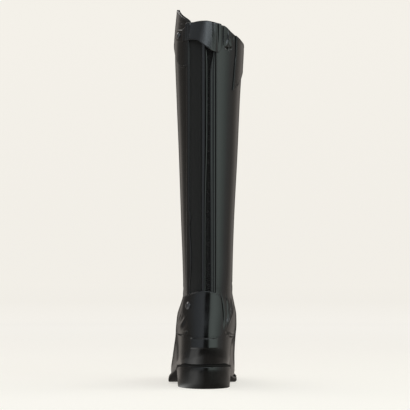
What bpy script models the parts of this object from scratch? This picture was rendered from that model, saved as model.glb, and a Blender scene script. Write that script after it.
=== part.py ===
"""Left field boot with a laced instep and a zipped, elastic back.

All sizes are in millimetres and become metres when a mesh is made. The boot
is drawn with its heel at y = 0, its toe towards +Y, its inner side towards +X
and the floor at z = 0. At the end it is moved so that the origin is the middle
of its box on the floor.

The upper is one function of two numbers: q, the height at which a section
starts at the back of the boot, and turn, the angle round that section (0 at the
back, a quarter turn at the outer side, half a turn at the front).
"""

import math

import bmesh
import bpy
import numpy as np
from mathutils import Vector

MM = 0.001
GAP = 0.3
WALL = 2.2
OVERLAY = 1.2

# Sections of the last and shaft, each from its back point to its front point.
# lateral and medial are the reach to each side at the widest place, which lies
# at the share "widest" of the way forward. back_full and front_full are the
# fullness of the two ends (2 is an ellipse), waist_* the pull-in at the arch,
# and "sole" how far a section follows the feather line instead of a plane.
SECTION_COLUMNS = (
    "back_z", "back_y", "front_y", "front_z", "lateral", "medial", "back_x", "front_x",
    "back_full", "front_full", "widest", "waist_lateral", "waist_medial", "sole",
)
SECTIONS = {
    "feather": (31.5, 5.0, 275.5, 12.5, 43.5, 39.5, 2.0, 2.0, 3.6, 2.2, 0.64, 7.5, 12.5, 1.00),
    "wall": (42.0, 1.5, 278.5, 21.0, 44.3, 41.0, 2.0, 2.0, 3.8, 2.2, 0.64, 7.2, 11.8, 0.85),
    "counter": (54.0, 0.0, 274.5, 35.0, 42.2, 41.2, 2.0, 2.0, 3.8, 2.2, 0.62, 5.5, 8.5, 0.50),
    "toe_top": (66.0, 1.0, 257.0, 47.0, 40.2, 42.0, 2.2, 2.5, 3.5, 2.2, 0.60, 3.0, 4.5, 0.25),
    "vamp": (78.0, 3.0, 228.0, 56.0, 38.4, 42.9, 2.5, 3.0, 3.2, 2.1, 0.59, 1.0, 1.5, 0.10),
    "high_vamp": (90.0, 5.5, 196.0, 67.0, 37.0, 43.1, 2.9, 3.5, 3.0, 2.1, 0.58, 0.0, 0.0, 0.0),
    "instep": (103.0, 8.0, 166.0, 83.0, 35.3, 42.7, 3.4, 4.0, 2.7, 2.1, 0.56, 0.0, 0.0, 0.0),
    "throat": (118.0, 10.0, 141.0, 102.0, 30.0, 39.6, 4.0, 4.5, 2.5, 2.1, 0.53, 0.0, 0.0, 0.0),
    "neck": (126.0, 10.0, 130.5, 113.5, 27.6, 37.7, 4.6, 4.8, 2.4, 2.1, 0.52, 0.0, 0.0, 0.0),
    "ankle": (135.0, 9.5, 122.0, 127.0, 27.4, 37.2, 5.0, 5.0, 2.4, 2.1, 0.51, 0.0, 0.0, 0.0),
    "shaft_foot": (160.0, 7.5, 110.0, 160.0, 28.0, 37.6, 5.0, 5.0, 2.4, 2.1, 0.50, 0.0, 0.0, 0.0),
    "lower_calf": (215.0, 1.0, 108.0, 215.0, 30.0, 39.3, 4.8, 4.8, 2.4, 2.1, 0.50, 0.0, 0.0, 0.0),
    "calf": (300.0, -8.0, 112.0, 300.0, 32.8, 43.6, 5.4, 5.4, 2.4, 2.1, 0.50, 0.0, 0.0, 0.0),
    "high_calf": (380.0, -12.0, 118.0, 380.0, 36.0, 47.2, 5.6, 5.6, 2.4, 2.1, 0.50, 0.0, 0.0, 0.0),
    "top": (440.0, -11.0, 123.0, 440.0, 37.9, 50.7, 6.4, 6.4, 2.4, 2.1, 0.50, 0.0, 0.0, 0.0),
    "peak": (500.0, -9.0, 128.0, 500.0, 33.4, 52.0, 9.3, 9.3, 2.4, 2.1, 0.50, 0.0, 0.0, 0.0),
}
WAIST_LATERAL_Y = 88.0
WAIST_MEDIAL_Y = 104.0
WAIST_SPREAD = 42.0
BALL_SKEW = 0.035

# Feather line, where the upper meets the sole: height along the foot.
FEATHER_Y = (0.0, 25.0, 50.0, 75.0, 100.0, 125.0, 150.0, 172.0, 205.0, 225.0, 250.0, 275.0, 285.0)
FEATHER_Z = (31.5, 31.0, 29.4, 25.6, 19.6, 13.0, 7.0, 4.5, 4.5, 5.6, 8.4, 12.5, 14.2)

# Height of the topline, high on the outer side and low on the inner side.
TOPLINE_DEGREES = (0, 30, 45, 60, 75, 90, 118, 150, 180, 215, 245, 270, 285, 300, 318, 335, 350, 360)
TOPLINE_Z = (471, 473.2, 479.3, 484.4, 489.8, 493.5, 487, 477, 471, 458, 449, 447.5, 449.7,
             454, 459.8, 467.7, 470.5, 471)
TOPLINE_BLEND_FROM = 420.0

# Openings of the upper: the back slot for zip and elastic, the laced throat.
SLOT_LATERAL_X = -19.0
SLOT_MEDIAL_X = 15.0
SLOT_BOTTOM = 117.0
THROAT_BOTTOM = 103.0
THROAT_TOP = 150.0
THROAT_HALF_BOTTOM = 7.0
THROAT_HALF_TOP = 11.0
EYESTAY_WIDTH = 14.0

# Rows of the upper's grid, and its columns in each stretch round a section.
UPPER_ROWS = (
    31.5, 36, 42, 48, 54, 60, 66, 72, 78, 84, 90, 96.5, THROAT_BOTTOM, 110, SLOT_BOTTOM, 126, 135,
    142.5, THROAT_TOP, 160, 175, 195, 220, 250, 285, 320, 355, 390, TOPLINE_BLEND_FROM,
)
TOP_ROWS = 3
STRETCH_CELLS = (16, 2, 4, 2, 14, 2, 4)
BAND_EDGE_TURN = math.radians(314)
SIDEWAYS_WEIGHT = 2.0

# Top band, a wide binding: its lower edge round the shaft.
BAND_DEGREES = (30, 50, 65, 80, 95, 130, 180, 230, 270, 288, 305, 320)
BAND_LOW_Z = (418, 418.5, 427, 441, 449, 447, 436, 416, 411, 400, 388, 385)
BAND_ROWS = 3
BAND_COLUMNS_AT = 450.0

# Zip and elastic in the back slot, by their sides' x from the ankle upwards.
STRIP_TOP = 470.0
STRIP_LAST_ROW = 445.0
ELASTIC_X = (SLOT_LATERAL_X + GAP, -3.7)
ELASTIC_OFFSETS = (-1.6, -0.4)
FACING_OUTER_X = ELASTIC_X[1] + GAP
FACING_INNER_X = SLOT_MEDIAL_X - GAP
FACING_OFFSETS = (-0.9, 0.0)
TEETH_EDGE_Z = (118.0, 230.0, 330.0, 430.0, 470.0)
TEETH_EDGE_OUTER = (1.9, 2.2, 4.4, 4.4, 3.6)
TEETH_EDGE_INNER = (8.4, 8.0, 7.2, 7.4, 10.5)
COIL_CENTRE_X = 5.2
COIL_HALF = 2.7
COIL_OFFSETS = (-2.4, -1.2)
TAPE_X = (-2.5, 14.0)
TAPE_OFFSETS = (-3.1, -2.7)

# Snap tab over the top of the zip: its edges and how far it stands off.
TOP_TAB_COLUMNS = ("x", "low", "high", "stand_off")
TOP_TAB = (
    (-35.2, 454.5, 459.5, 1.9),
    (-33.6, 450.6, 463.4, 1.9),
    (-30.0, 449.2, 464.8, 1.9),
    (-26.5, 449.0, 464.6, 1.9),
    (-23.5, 449.8, 467.5, 2.0),
    (-20.5, 450.3, 473.6, 2.1),
    (-14.0, 450.4, 473.8, 2.6),
    (-7.0, 450.0, 474.8, 3.4),
    (-2.5, 446.6, 475.2, 4.1),
    (3.0, 441.6, 475.3, 4.5),
    (7.5, 437.8, 474.7, 4.0),
    (12.5, 435.2, 473.7, 2.5),
    (18.5, 434.5, 472.2, 0.8),
    (22.0, 440.5, 471.2, 0.3),
)
TOP_TAB_THICK = 1.8
TOP_SNAP_AT = (-30.5, 457.5)
TOP_SNAP_RADIUS = 4.4

# Cap of a snap: share of its radius and height, from its rim to its crown.
SNAP_PROFILE = ((1.0, 0.0), (1.0, 0.9), (0.86, 1.7), (0.5, 2.3), (0.2, 2.5))

# Snap tab over the foot of the zip.
ANKLE_TAB_COLUMNS = ("x", "low", "high")
ANKLE_TAB = (
    (-26.0, 101.5, 114.5),
    (-24.5, 96.5, 118.0),
    (-22.4, 92.5, 119.8),
    (-18.4, 82.6, 121.8),
    (-15.5, 69.5, 123.0),
    (-11.5, 68.3, 124.6),
    (-7.5, 68.0, 126.0),
    (-1.3, 68.0, 127.0),
    (4.0, 68.0, 126.7),
    (9.0, 68.0, 125.9),
    (14.5, 68.0, 124.6),
    (19.2, 68.2, 121.0),
    (21.5, 70.0, 110.6),
    (23.0, 76.0, 93.0),
)
ANKLE_TAB_STAND_OFF = 0.5
ANKLE_TAB_THICK = 1.8
ANKLE_SNAP_AT = (-18.8, 107.0)
ANKLE_SNAP_RADIUS = 5.0

# Outside counter and the spur rest on it.
COUNTER_COLUMNS = ("x", "low", "high")
COUNTER = (
    (-25.0, 36.0, 69.5),
    (-20.0, 34.0, 68.8),
    (-15.0, 33.6, 67.7),
    (-10.0, 33.3, 67.7),
    (-5.0, 33.2, 67.7),
    (0.0, 33.2, 67.7),
    (5.0, 33.2, 67.7),
    (10.0, 33.3, 67.7),
    (14.5, 33.6, 67.7),
    (17.0, 33.8, 54.5),
    (21.0, 34.2, 49.5),
    (25.0, 35.0, 45.0),
)
COUNTER_STAND_OFF = 0.45
SPUR_REST_X = (-15.0, 16.0)
SPUR_REST_Z = (52.0, 66.0)
SPUR_REST_OFFSETS = (COUNTER_STAND_OFF + OVERLAY + GAP, 4.8)

# Lacing of the instep.
EYELET_PAIRS = 5
EYELET_FIRST = 106.0
EYELET_STEP = 10.2
EYELET_INSET = 6.6
EYELET_BORE = 1.8
EYELET_RADIUS = 3.3
EYELET_CHAMFER = 0.5
EYELET_HEIGHT = 1.1
EYELET_SEAT = GAP + OVERLAY + 0.45
LACE_RADIUS = 1.3
LACE_CLEAR = 0.6
LACE_POINTS = 5
LACE_SIDES = 6
TONGUE_ROWS = (90.0, 160.0)
EYESTAY_ROWS = (96.5, 160.0)
TONGUE_THICK = 1.6

# Sole parts.
SOLE_REACH_Y = (0.0, 60.0, 105.0, 150.0, 280.0)
SOLE_REACH = (3.2, 3.2, 2.4, 4.2, 4.0)
OUTSOLE_THICK_Y = (0.0, 66.0, 125.0, 285.0)
OUTSOLE_THICK = (2.5, 2.5, 4.2, 4.2)
SOLE_STATIONS = 30
SOLE_END_SWING = 0.07
HEEL_END_SWING = 0.2
WELT_FROM_Y = 72.0
WELT_INSIDE = 1.7
WELT_INSET = 0.3
WELT_LEAST_WIDTH = 0.4
WELT_HEIGHT = 2.2
WELT_STEPS = 56
INSOLE_THICK = 3.0
INSOLE_INSET = WALL + 1.2
HEEL_BREAST_TOP = 68.0
HEEL_BREAST_FOOT = 64.0
HEEL_BACK_RUN_IN = 2.0
HEEL_FOOT_SCALE = 0.955
HEEL_STATIONS = 14


def track(xs, ys):
    """Smooth curve through a short table that never overshoots its values."""
    xs = np.asarray(xs, float)
    ys = np.asarray(ys, float)
    steps = np.diff(xs)
    slopes = np.diff(ys) / steps
    grades = np.zeros_like(ys)
    for i in range(1, len(xs) - 1):
        if slopes[i - 1] * slopes[i] > 0:
            near = 2 * steps[i] + steps[i - 1]
            far = steps[i] + 2 * steps[i - 1]
            grades[i] = (near + far) / (near / slopes[i - 1] + far / slopes[i])
    grades[0] = slopes[0]
    grades[-1] = slopes[-1]

    def curve(x):
        x = np.clip(np.asarray(x, float), xs[0], xs[-1])
        i = np.clip(np.searchsorted(xs, x, side="right") - 1, 0, len(xs) - 2)
        t = (x - xs[i]) / steps[i]
        rise = (1 + 2 * t) * (1 - t) ** 2 * ys[i] + t * t * (3 - 2 * t) * ys[i + 1]
        lean = t * (1 - t) ** 2 * grades[i] - t * t * (1 - t) * grades[i + 1]
        return rise + lean * steps[i]

    return curve


def section_tracks():
    rows = np.array(list(SECTIONS.values()))
    return {name: track(rows[:, 0], rows[:, k]) for k, name in enumerate(SECTION_COLUMNS)}


TRACKS = section_tracks()
FEATHER = SECTIONS["feather"]
feather_z = track(FEATHER_Y, FEATHER_Z)
topline = track(np.radians(TOPLINE_DEGREES), TOPLINE_Z)
band_low = track(np.radians(BAND_DEGREES), BAND_LOW_Z)
sole_reach = track(SOLE_REACH_Y, SOLE_REACH)
outsole_thick = track(OUTSOLE_THICK_Y, OUTSOLE_THICK)
teeth_edge_outer = track(TEETH_EDGE_Z, TEETH_EDGE_OUTER)
teeth_edge_inner = track(TEETH_EDGE_Z, TEETH_EDGE_INNER)


def throat_half(q):
    return np.interp(q, (THROAT_BOTTOM, THROAT_TOP), (THROAT_HALF_BOTTOM, THROAT_HALF_TOP))


def surface(q, turn):
    """Outer surface of the upper at section q and angle turn, as points (..., 3)."""
    q, turn = np.broadcast_arrays(np.asarray(q, float), np.asarray(turn, float))
    row = {name: curve(q) for name, curve in TRACKS.items()}
    side = -np.sign(np.sin(turn))
    cosine = np.cos(turn)
    across = np.abs(np.sin(turn))
    widest = row["widest"] + BALL_SKEW * row["sole"] * side
    back_share = widest * (1 - np.abs(cosine) ** (2 / row["back_full"]))
    front_share = widest + (1 - widest) * np.abs(cosine) ** (2 / row["front_full"])
    share = np.where(cosine >= 0, back_share, front_share)
    y = row["back_y"] + (row["front_y"] - row["back_y"]) * share
    half = (row["lateral"] + row["medial"]) / 2
    middle = (row["medial"] - row["lateral"]) / 2
    waist = np.where(side < 0, row["waist_lateral"], row["waist_medial"])
    waist_y = np.where(side < 0, WAIST_LATERAL_Y, WAIST_MEDIAL_Y)
    waist = waist * np.exp(-(((y - waist_y) / WAIST_SPREAD) ** 2)) * across
    chord = row["back_x"] + (row["front_x"] - row["back_x"]) * share
    chord_at_widest = row["back_x"] + (row["front_x"] - row["back_x"]) * row["widest"]
    bow = (share * (1 - share) / (row["widest"] * (1 - row["widest"]))) ** 2
    x = chord + (middle - chord_at_widest) * bow + side * (half * across - waist)
    back_z, back_y, front_y, front_z = FEATHER[:4]
    feather_line = feather_z(back_y + (front_y - back_y) * share)
    feather_chord = back_z + (front_z - back_z) * share
    z = row["back_z"] + (row["front_z"] - row["back_z"]) * share
    z = z + row["sole"] * (feather_line - feather_chord)
    return np.stack([x, y, z], axis=-1)


def normal(q, turn):
    """Outward unit normal of the upper's surface."""
    dq = 0.2
    dturn = 0.004
    along = surface(q, turn - dturn) - surface(q, turn + dturn)
    up = surface(q + dq, turn) - surface(q - dq, turn)
    out = np.cross(along, up)
    return out / np.linalg.norm(out, axis=-1, keepdims=True)


def skin(q, turn, offset=0.0):
    """Point of the upper's surface, moved out along its normal."""
    q, turn, offset = np.broadcast_arrays(*(np.asarray(v, float) for v in (q, turn, offset)))
    return surface(q, turn) + offset[..., None] * normal(q, turn)


def turn_at_x(q, x, front=False):
    """Angle at which section q reaches x, on its back half or its front half."""
    q, x = np.broadcast_arrays(np.asarray(q, float), np.asarray(x, float))
    lateral = np.full(q.shape, math.pi / 2)
    medial = np.full(q.shape, 1.5 * math.pi if front else -math.pi / 2)
    for _ in range(40):
        guess = (lateral + medial) / 2
        too_lateral = surface(q, guess)[..., 0] < x
        lateral = np.where(too_lateral, guess, lateral)
        medial = np.where(too_lateral, medial, guess)
    return (lateral + medial) / 2


def back_place(x, z):
    """Section and angle of the point on the back half that shows at x and z from behind."""
    x, z = np.broadcast_arrays(np.asarray(x, float), np.asarray(z, float))
    low = np.full(x.shape, FEATHER[0])
    high = np.full(x.shape, SECTIONS["peak"][0])
    for _ in range(40):
        q = (low + high) / 2
        below = surface(q, turn_at_x(q, x))[..., 2] < z
        low = np.where(below, q, low)
        high = np.where(below, high, q)
    return q, turn_at_x(q, x)


def front_turn(q, aside):
    """Angle of the point that lies so far to the side of the front ridge."""
    return turn_at_x(q, TRACKS["front_x"](q) + aside, front=True)


def column_turns(q):
    """Angles of the upper's columns at section q, starting at the slot's outer edge."""
    opening = throat_half(q)
    slot = float(turn_at_x(q, SLOT_LATERAL_X))
    stops = [
        slot,
        float(front_turn(q, -opening - EYESTAY_WIDTH)),
        float(front_turn(q, -opening)),
        float(front_turn(q, opening)),
        float(front_turn(q, opening + EYESTAY_WIDTH)),
        BAND_EDGE_TURN,
        2 * math.pi + float(turn_at_x(q, SLOT_MEDIAL_X)),
        2 * math.pi + slot,
    ]
    turns = []
    for start, stop, cells in zip(stops, stops[1:], STRETCH_CELLS):
        fine = np.linspace(start, stop, 200)
        steps = np.diff(surface(q, fine), axis=0) * (SIDEWAYS_WEIGHT, 1.0, 1.0)
        length = np.concatenate([[0.0], np.cumsum(np.linalg.norm(steps, axis=1))])
        turns.extend(np.interp(length[-1] * np.arange(cells) / cells, length, fine))
    return np.array(turns)


def stretch_start(index):
    return sum(STRETCH_CELLS[:index])


LATERAL_EYESTAY = stretch_start(1)
THROAT = stretch_start(2)
MEDIAL_EYESTAY = stretch_start(3)
MEDIAL_SIDE = stretch_start(4)
BAND_END = stretch_start(5)
BACK_SLOT = stretch_start(6)


def upper_grid():
    """Section and angle of each corner of the upper's grid, and the row heights."""
    rows = list(UPPER_ROWS)
    qs = [np.full(sum(STRETCH_CELLS), q, float) for q in rows]
    turns = [column_turns(q) for q in rows]
    for k in range(1, TOP_ROWS + 1):
        top_turns = column_turns(TOPLINE_BLEND_FROM + (STRIP_TOP - TOPLINE_BLEND_FROM) * k / TOP_ROWS)
        edge = topline(np.mod(top_turns, 2 * math.pi))
        row = TOPLINE_BLEND_FROM + (edge - TOPLINE_BLEND_FROM) * k / TOP_ROWS
        top_turns[0] = turn_at_x(row[0], SLOT_LATERAL_X)
        top_turns[BACK_SLOT] = 2 * math.pi + turn_at_x(row[BACK_SLOT], SLOT_MEDIAL_X)
        qs.append(row)
        turns.append(top_turns)
    return np.array(qs), np.array(turns)


GRID_Q, GRID_TURN = upper_grid()


def make_material(name, colour, roughness, metallic=0.0):
    material = bpy.data.materials.new(name)
    material.use_nodes = True
    shader = material.node_tree.nodes["Principled BSDF"]
    shader.inputs["Base Color"].default_value = (*colour, 1.0)
    shader.inputs["Roughness"].default_value = roughness
    shader.inputs["Metallic"].default_value = metallic
    return material


def make_object(name, mesh_data, look):
    """Turn a bmesh in millimetres into a named object in metres with its own material."""
    bmesh.ops.recalc_face_normals(mesh_data, faces=mesh_data.faces)
    bmesh.ops.scale(mesh_data, vec=(MM, MM, MM), verts=mesh_data.verts)
    mesh = bpy.data.meshes.new(name)
    mesh_data.to_mesh(mesh)
    mesh_data.free()
    mesh.shade_smooth()
    mesh.set_sharp_from_angle(angle=math.radians(40))
    mesh.materials.append(make_material(name, *look))
    part = bpy.data.objects.new(name, mesh)
    bpy.context.collection.objects.link(part)
    return part


def sheet(name, outer, inner, look, keep=None, closed=False):
    """Closed sheet between two grids of points, without the cells that keep leaves out.

    Every cell is split along the same diagonal, so sheets on one grid stay parallel.
    """
    rows, columns = outer.shape[:2]
    cell_columns = columns if closed else columns - 1
    if keep is None:
        keep = np.ones((rows - 1, cell_columns), bool)
    mesh_data = bmesh.new()
    made = {}

    def corner(layer, i, j):
        key = (layer, i, j % columns)
        if key not in made:
            made[key] = mesh_data.verts.new(layer_points[layer][i, j % columns])
        return made[key]

    def kept(i, j):
        if closed:
            j = j % cell_columns
        return 0 <= i < rows - 1 and 0 <= j < cell_columns and keep[i, j]

    layer_points = (outer, inner)
    for i in range(rows - 1):
        for j in range(cell_columns):
            if not keep[i, j]:
                continue
            around = ((i, j), (i, j + 1), (i + 1, j + 1), (i + 1, j))
            for layer in (0, 1):
                a, b, c, d = (corner(layer, *at) for at in around)
                mesh_data.faces.new((a, b, c) if layer == 0 else (c, b, a))
                mesh_data.faces.new((a, c, d) if layer == 0 else (d, c, a))
            beside = ((i - 1, j), (i, j + 1), (i + 1, j), (i, j - 1))
            for k, cell in enumerate(beside):
                if not kept(*cell):
                    a, b = around[k], around[(k + 1) % 4]
                    rim = (corner(0, *b), corner(0, *a), corner(1, *a), corner(1, *b))
                    mesh_data.faces.new(rim)
    return make_object(name, mesh_data, look)


def skin_sheet(name, q, turn, low, high, look):
    """Sheet that follows the upper between two offsets from its surface."""
    return sheet(name, skin(q, turn, high), skin(q, turn, low), look)


def edged_patch(name, columns, table, cells, stand_off, thick, look):
    """Sheet on the back of the boot from a table of x with the lower and upper edge there."""
    rows = np.array(table)
    x, low, high = (rows[:, columns.index(column)] for column in ("x", "low", "high"))
    share = np.linspace(0, 1, cells + 1)[:, None]
    q, turn = back_place(x[None, :] + 0 * share, low + (high - low) * share)
    return skin_sheet(name, q, turn, stand_off, stand_off + thick, look)


def strip(name, left, right, cells, offsets, look):
    """Upright strip in the back slot, its sides given as curves of height."""
    between = [row for row in UPPER_ROWS if row > SLOT_BOTTOM]
    q = np.array([SLOT_BOTTOM + GAP, *between, STRIP_LAST_ROW, STRIP_TOP])
    share = np.linspace(0, 1, cells + 1)
    x = left(q)[:, None] + (right(q) - left(q))[:, None] * share
    rows = np.broadcast_to(q[:, None], x.shape)
    return skin_sheet(name, rows, turn_at_x(rows, x), *offsets, look)


def grid_patch(name, row_range, first_column, last_column, offsets, look):
    """Sheet over whole cells of the upper's grid."""
    rows = [i for i, q in enumerate(UPPER_ROWS) if row_range[0] <= q <= row_range[1]]
    block = np.ix_(rows, range(first_column, last_column + 1))
    return skin_sheet(name, GRID_Q[block], GRID_TURN[block], *offsets, look)


def turned_rings(q, turn, offset, profile, sides=16):
    """Rings of a turned piece that stands on the upper, from (radius, height) points."""
    seat = Vector(skin(q, turn, offset))
    axis = Vector(normal(q, turn))
    right = axis.orthogonal().normalized()
    ahead = axis.cross(right)
    mesh_data = bmesh.new()
    rings = []
    for radius, height in profile:
        ring = []
        for k in range(sides):
            angle = 2 * math.pi * k / sides
            aside = right * math.cos(angle) + ahead * math.sin(angle)
            ring.append(mesh_data.verts.new(seat + aside * radius + axis * height))
        rings.append(ring)
    return mesh_data, rings


def bridge(mesh_data, rings, closed):
    pairs = list(zip(rings, rings[1:]))
    if closed:
        pairs.append((rings[-1], rings[0]))
    for lower, upper in pairs:
        count = len(lower)
        for k in range(count):
            after = (k + 1) % count
            mesh_data.faces.new([lower[k], lower[after], upper[after], upper[k]])


def make_snap(name, x, z, stand_off, radius):
    q, turn = back_place(x, z)
    profile = [(radius * share, height) for share, height in SNAP_PROFILE]
    mesh_data, rings = turned_rings(q, turn, stand_off, profile)
    bridge(mesh_data, rings, closed=False)
    mesh_data.faces.new(rings[0])
    mesh_data.faces.new(rings[-1])
    return make_object(name, mesh_data, SNAP_LOOK)


def make_eyelet(name, q, turn):
    profile = (
        (EYELET_BORE, 0.0),
        (EYELET_RADIUS, 0.0),
        (EYELET_RADIUS - EYELET_CHAMFER, EYELET_HEIGHT),
        (EYELET_BORE, EYELET_HEIGHT),
    )
    mesh_data, rings = turned_rings(q, turn, EYELET_SEAT, profile, sides=10)
    bridge(mesh_data, rings, closed=True)
    return make_object(name, mesh_data, EYELET_LOOK)


def plate(name, low_edges, high_edges, look):
    """Slab through stations along the foot, from the left and right points of each face."""
    mesh_data = bmesh.new()
    rings = []
    for low, high in zip(low_edges, high_edges):
        rings.append([mesh_data.verts.new(p) for p in (low[0], low[1], high[1], high[0])])
    bridge(mesh_data, rings, closed=False)
    mesh_data.faces.new(rings[0])
    mesh_data.faces.new(rings[-1])
    return make_object(name, mesh_data, look)


def feather_ring(turn, reach):
    """Feather line seen from above, moved outwards by a reach."""
    at = surface(FEATHER[0], turn)[..., :2]
    step = 0.004
    along = surface(FEATHER[0], turn - step)[..., :2] - surface(FEATHER[0], turn + step)[..., :2]
    along = along / np.linalg.norm(along, axis=-1, keepdims=True)
    out = np.stack([along[..., 1], -along[..., 0]], axis=-1)
    return at + np.asarray(reach)[..., None] * out


def sole_reach_at(turn):
    return sole_reach(surface(FEATHER[0], turn)[..., 1])


def sole_edges(reach_at, stations, start=None, stop=None):
    """Stations along the foot with the left and right edge of an outline at each."""
    turn = np.linspace(0, math.pi, 400)
    outer = feather_ring(turn, reach_at(turn))
    inner = feather_ring(-turn, reach_at(-turn))
    first = max(outer[0, 1], inner[0, 1]) if start is None else start
    last = min(outer[-1, 1], inner[-1, 1]) if stop is None else stop
    if start is None and stop is None:
        swing = np.linspace(SOLE_END_SWING, math.pi - SOLE_END_SWING, stations)
        y = (first + last) / 2 - (last - first) / 2 * np.cos(swing)
    else:
        swing = np.linspace(HEEL_END_SWING, math.pi / 2, stations)
        y = last - (last - first) * np.cos(swing)
    return y, np.interp(y, outer[:, 1], outer[:, 0]), np.interp(y, inner[:, 1], inner[:, 0])


def edge_points(y, left, right, z):
    return list(zip(np.stack([left, y, z], axis=1), np.stack([right, y, z], axis=1)))


def make_outsole():
    y, left, right = sole_edges(sole_reach_at, SOLE_STATIONS)
    top = feather_z(y) - GAP
    low = edge_points(y, left, right, top - outsole_thick(y))
    return plate("outsole", low, edge_points(y, left, right, top), SOLE_LOOK)


def make_insole():
    y, left, right = sole_edges(lambda turn: np.full(turn.shape, -INSOLE_INSET), SOLE_STATIONS)
    low = edge_points(y, left, right, feather_z(y))
    high = edge_points(y, left, right, feather_z(y) + INSOLE_THICK)
    return plate("insole", low, high, INSOLE_LOOK)


def make_heel():
    """Block heel whose top follows the sole's seat and whose foot stands flat."""
    back = float(feather_ring(np.array([0.0]), np.array([SOLE_REACH[0]]))[0, 1])
    y, left, right = sole_edges(sole_reach_at, HEEL_STATIONS, back, HEEL_BREAST_TOP)
    top = feather_z(y) - GAP - outsole_thick(y) - GAP
    run = (y - back) / (HEEL_BREAST_TOP - back)
    foot_y = back + HEEL_BACK_RUN_IN + run * (HEEL_BREAST_FOOT - back - HEEL_BACK_RUN_IN)
    middle = (left + right) / 2
    foot_left = middle + (left - middle) * HEEL_FOOT_SCALE
    foot_right = middle + (right - middle) * HEEL_FOOT_SCALE
    low = edge_points(foot_y, foot_left, foot_right, np.zeros(HEEL_STATIONS))
    return plate("heel", low, edge_points(y, left, right, top), HEEL_LOOK)


def make_welt():
    """Strip that runs from the heel breast round the toe and back, on the sole's rim."""
    fine = np.linspace(0, math.pi, 400)
    first = float(np.interp(WELT_FROM_Y, surface(FEATHER[0], fine)[:, 1], fine))
    last = float(np.interp(WELT_FROM_Y, surface(FEATHER[0], -fine)[:, 1], fine))
    turn = np.linspace(first, 2 * math.pi - last, WELT_STEPS)
    inside = feather_ring(turn, np.full(turn.shape, WELT_INSIDE))
    outside = feather_ring(turn, np.maximum(sole_reach_at(turn) - WELT_INSET, WELT_INSIDE + WELT_LEAST_WIDTH))
    flat = np.stack([inside, outside])
    low = np.concatenate([flat, feather_z(flat[..., 1])[..., None]], axis=-1)
    high = low + (0.0, 0.0, WELT_HEIGHT)
    return sheet("welt", high, low, WELT_LOOK)


def make_upper():
    rows = GRID_Q.shape[0]
    keep = np.ones((rows - 1, sum(STRETCH_CELLS)), bool)
    slot_row = UPPER_ROWS.index(SLOT_BOTTOM)
    throat_rows = slice(UPPER_ROWS.index(THROAT_BOTTOM), UPPER_ROWS.index(THROAT_TOP))
    keep[slot_row:, BACK_SLOT:] = False
    keep[throat_rows, THROAT:MEDIAL_EYESTAY] = False
    outer = skin(GRID_Q, GRID_TURN)
    inner = skin(GRID_Q, GRID_TURN, -WALL)
    return sheet("upper", outer, inner, LEATHER_LOOK, keep, closed=True)


def make_top_band():
    turns = column_turns(BAND_COLUMNS_AT)[: BAND_END + 1]
    share = np.linspace(0, 1, BAND_ROWS + 1)[:, None]
    low = band_low(turns)
    q = low + (topline(turns) - low) * share
    return skin_sheet("top_band", q, turns + 0 * share, GAP, GAP + OVERLAY, BAND_LOOK)


def upright(x):
    """Side of a strip that keeps its x all the way up."""
    return lambda q: np.full(np.shape(q), x)


def make_back_closure():
    strip("elastic_panel", upright(ELASTIC_X[0]), upright(ELASTIC_X[1]), 3, ELASTIC_OFFSETS, ELASTIC_LOOK)
    strip("zip_facing_outer", upright(FACING_OUTER_X), teeth_edge_outer, 2, FACING_OFFSETS, LEATHER_LOOK)
    strip("zip_facing_inner", teeth_edge_inner, upright(FACING_INNER_X), 2, FACING_OFFSETS, LEATHER_LOOK)
    coil_sides = (upright(COIL_CENTRE_X - COIL_HALF), upright(COIL_CENTRE_X + COIL_HALF))
    strip("zip_coil", *coil_sides, 1, COIL_OFFSETS, ZIP_LOOK)
    strip("zip_tape", upright(TAPE_X[0]), upright(TAPE_X[1]), 3, TAPE_OFFSETS, TAPE_LOOK)


def make_tabs():
    stand_off = np.array(TOP_TAB)[:, TOP_TAB_COLUMNS.index("stand_off")]
    edged_patch("top_tab", TOP_TAB_COLUMNS, TOP_TAB, 4, stand_off, TOP_TAB_THICK, LEATHER_LOOK)
    make_snap("top_snap", *TOP_SNAP_AT, stand_off[0] + TOP_TAB_THICK + GAP, TOP_SNAP_RADIUS)
    stand_off = ANKLE_TAB_STAND_OFF
    edged_patch("ankle_tab", ANKLE_TAB_COLUMNS, ANKLE_TAB, 8, stand_off, ANKLE_TAB_THICK, LEATHER_LOOK)
    make_snap("ankle_snap", *ANKLE_SNAP_AT, stand_off + ANKLE_TAB_THICK + GAP, ANKLE_SNAP_RADIUS)


def make_heel_trim():
    stand_off = COUNTER_STAND_OFF
    edged_patch("heel_counter", COUNTER_COLUMNS, COUNTER, 6, stand_off, OVERLAY, LEATHER_LOOK)
    x, z = np.meshgrid(np.linspace(*SPUR_REST_X, 8), np.linspace(*SPUR_REST_Z, 4))
    q, turn = back_place(x, z)
    skin_sheet("spur_rest", q, turn, *SPUR_REST_OFFSETS, SPUR_REST_LOOK)


def eyelet_places():
    """Section and angle of each eyelet: pairs from the bottom, outer side first."""
    places = []
    for k in range(EYELET_PAIRS):
        q = EYELET_FIRST + k * EYELET_STEP
        aside = float(throat_half(q)) + EYELET_INSET
        places.append((q, -aside, aside))
    return places


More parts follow.
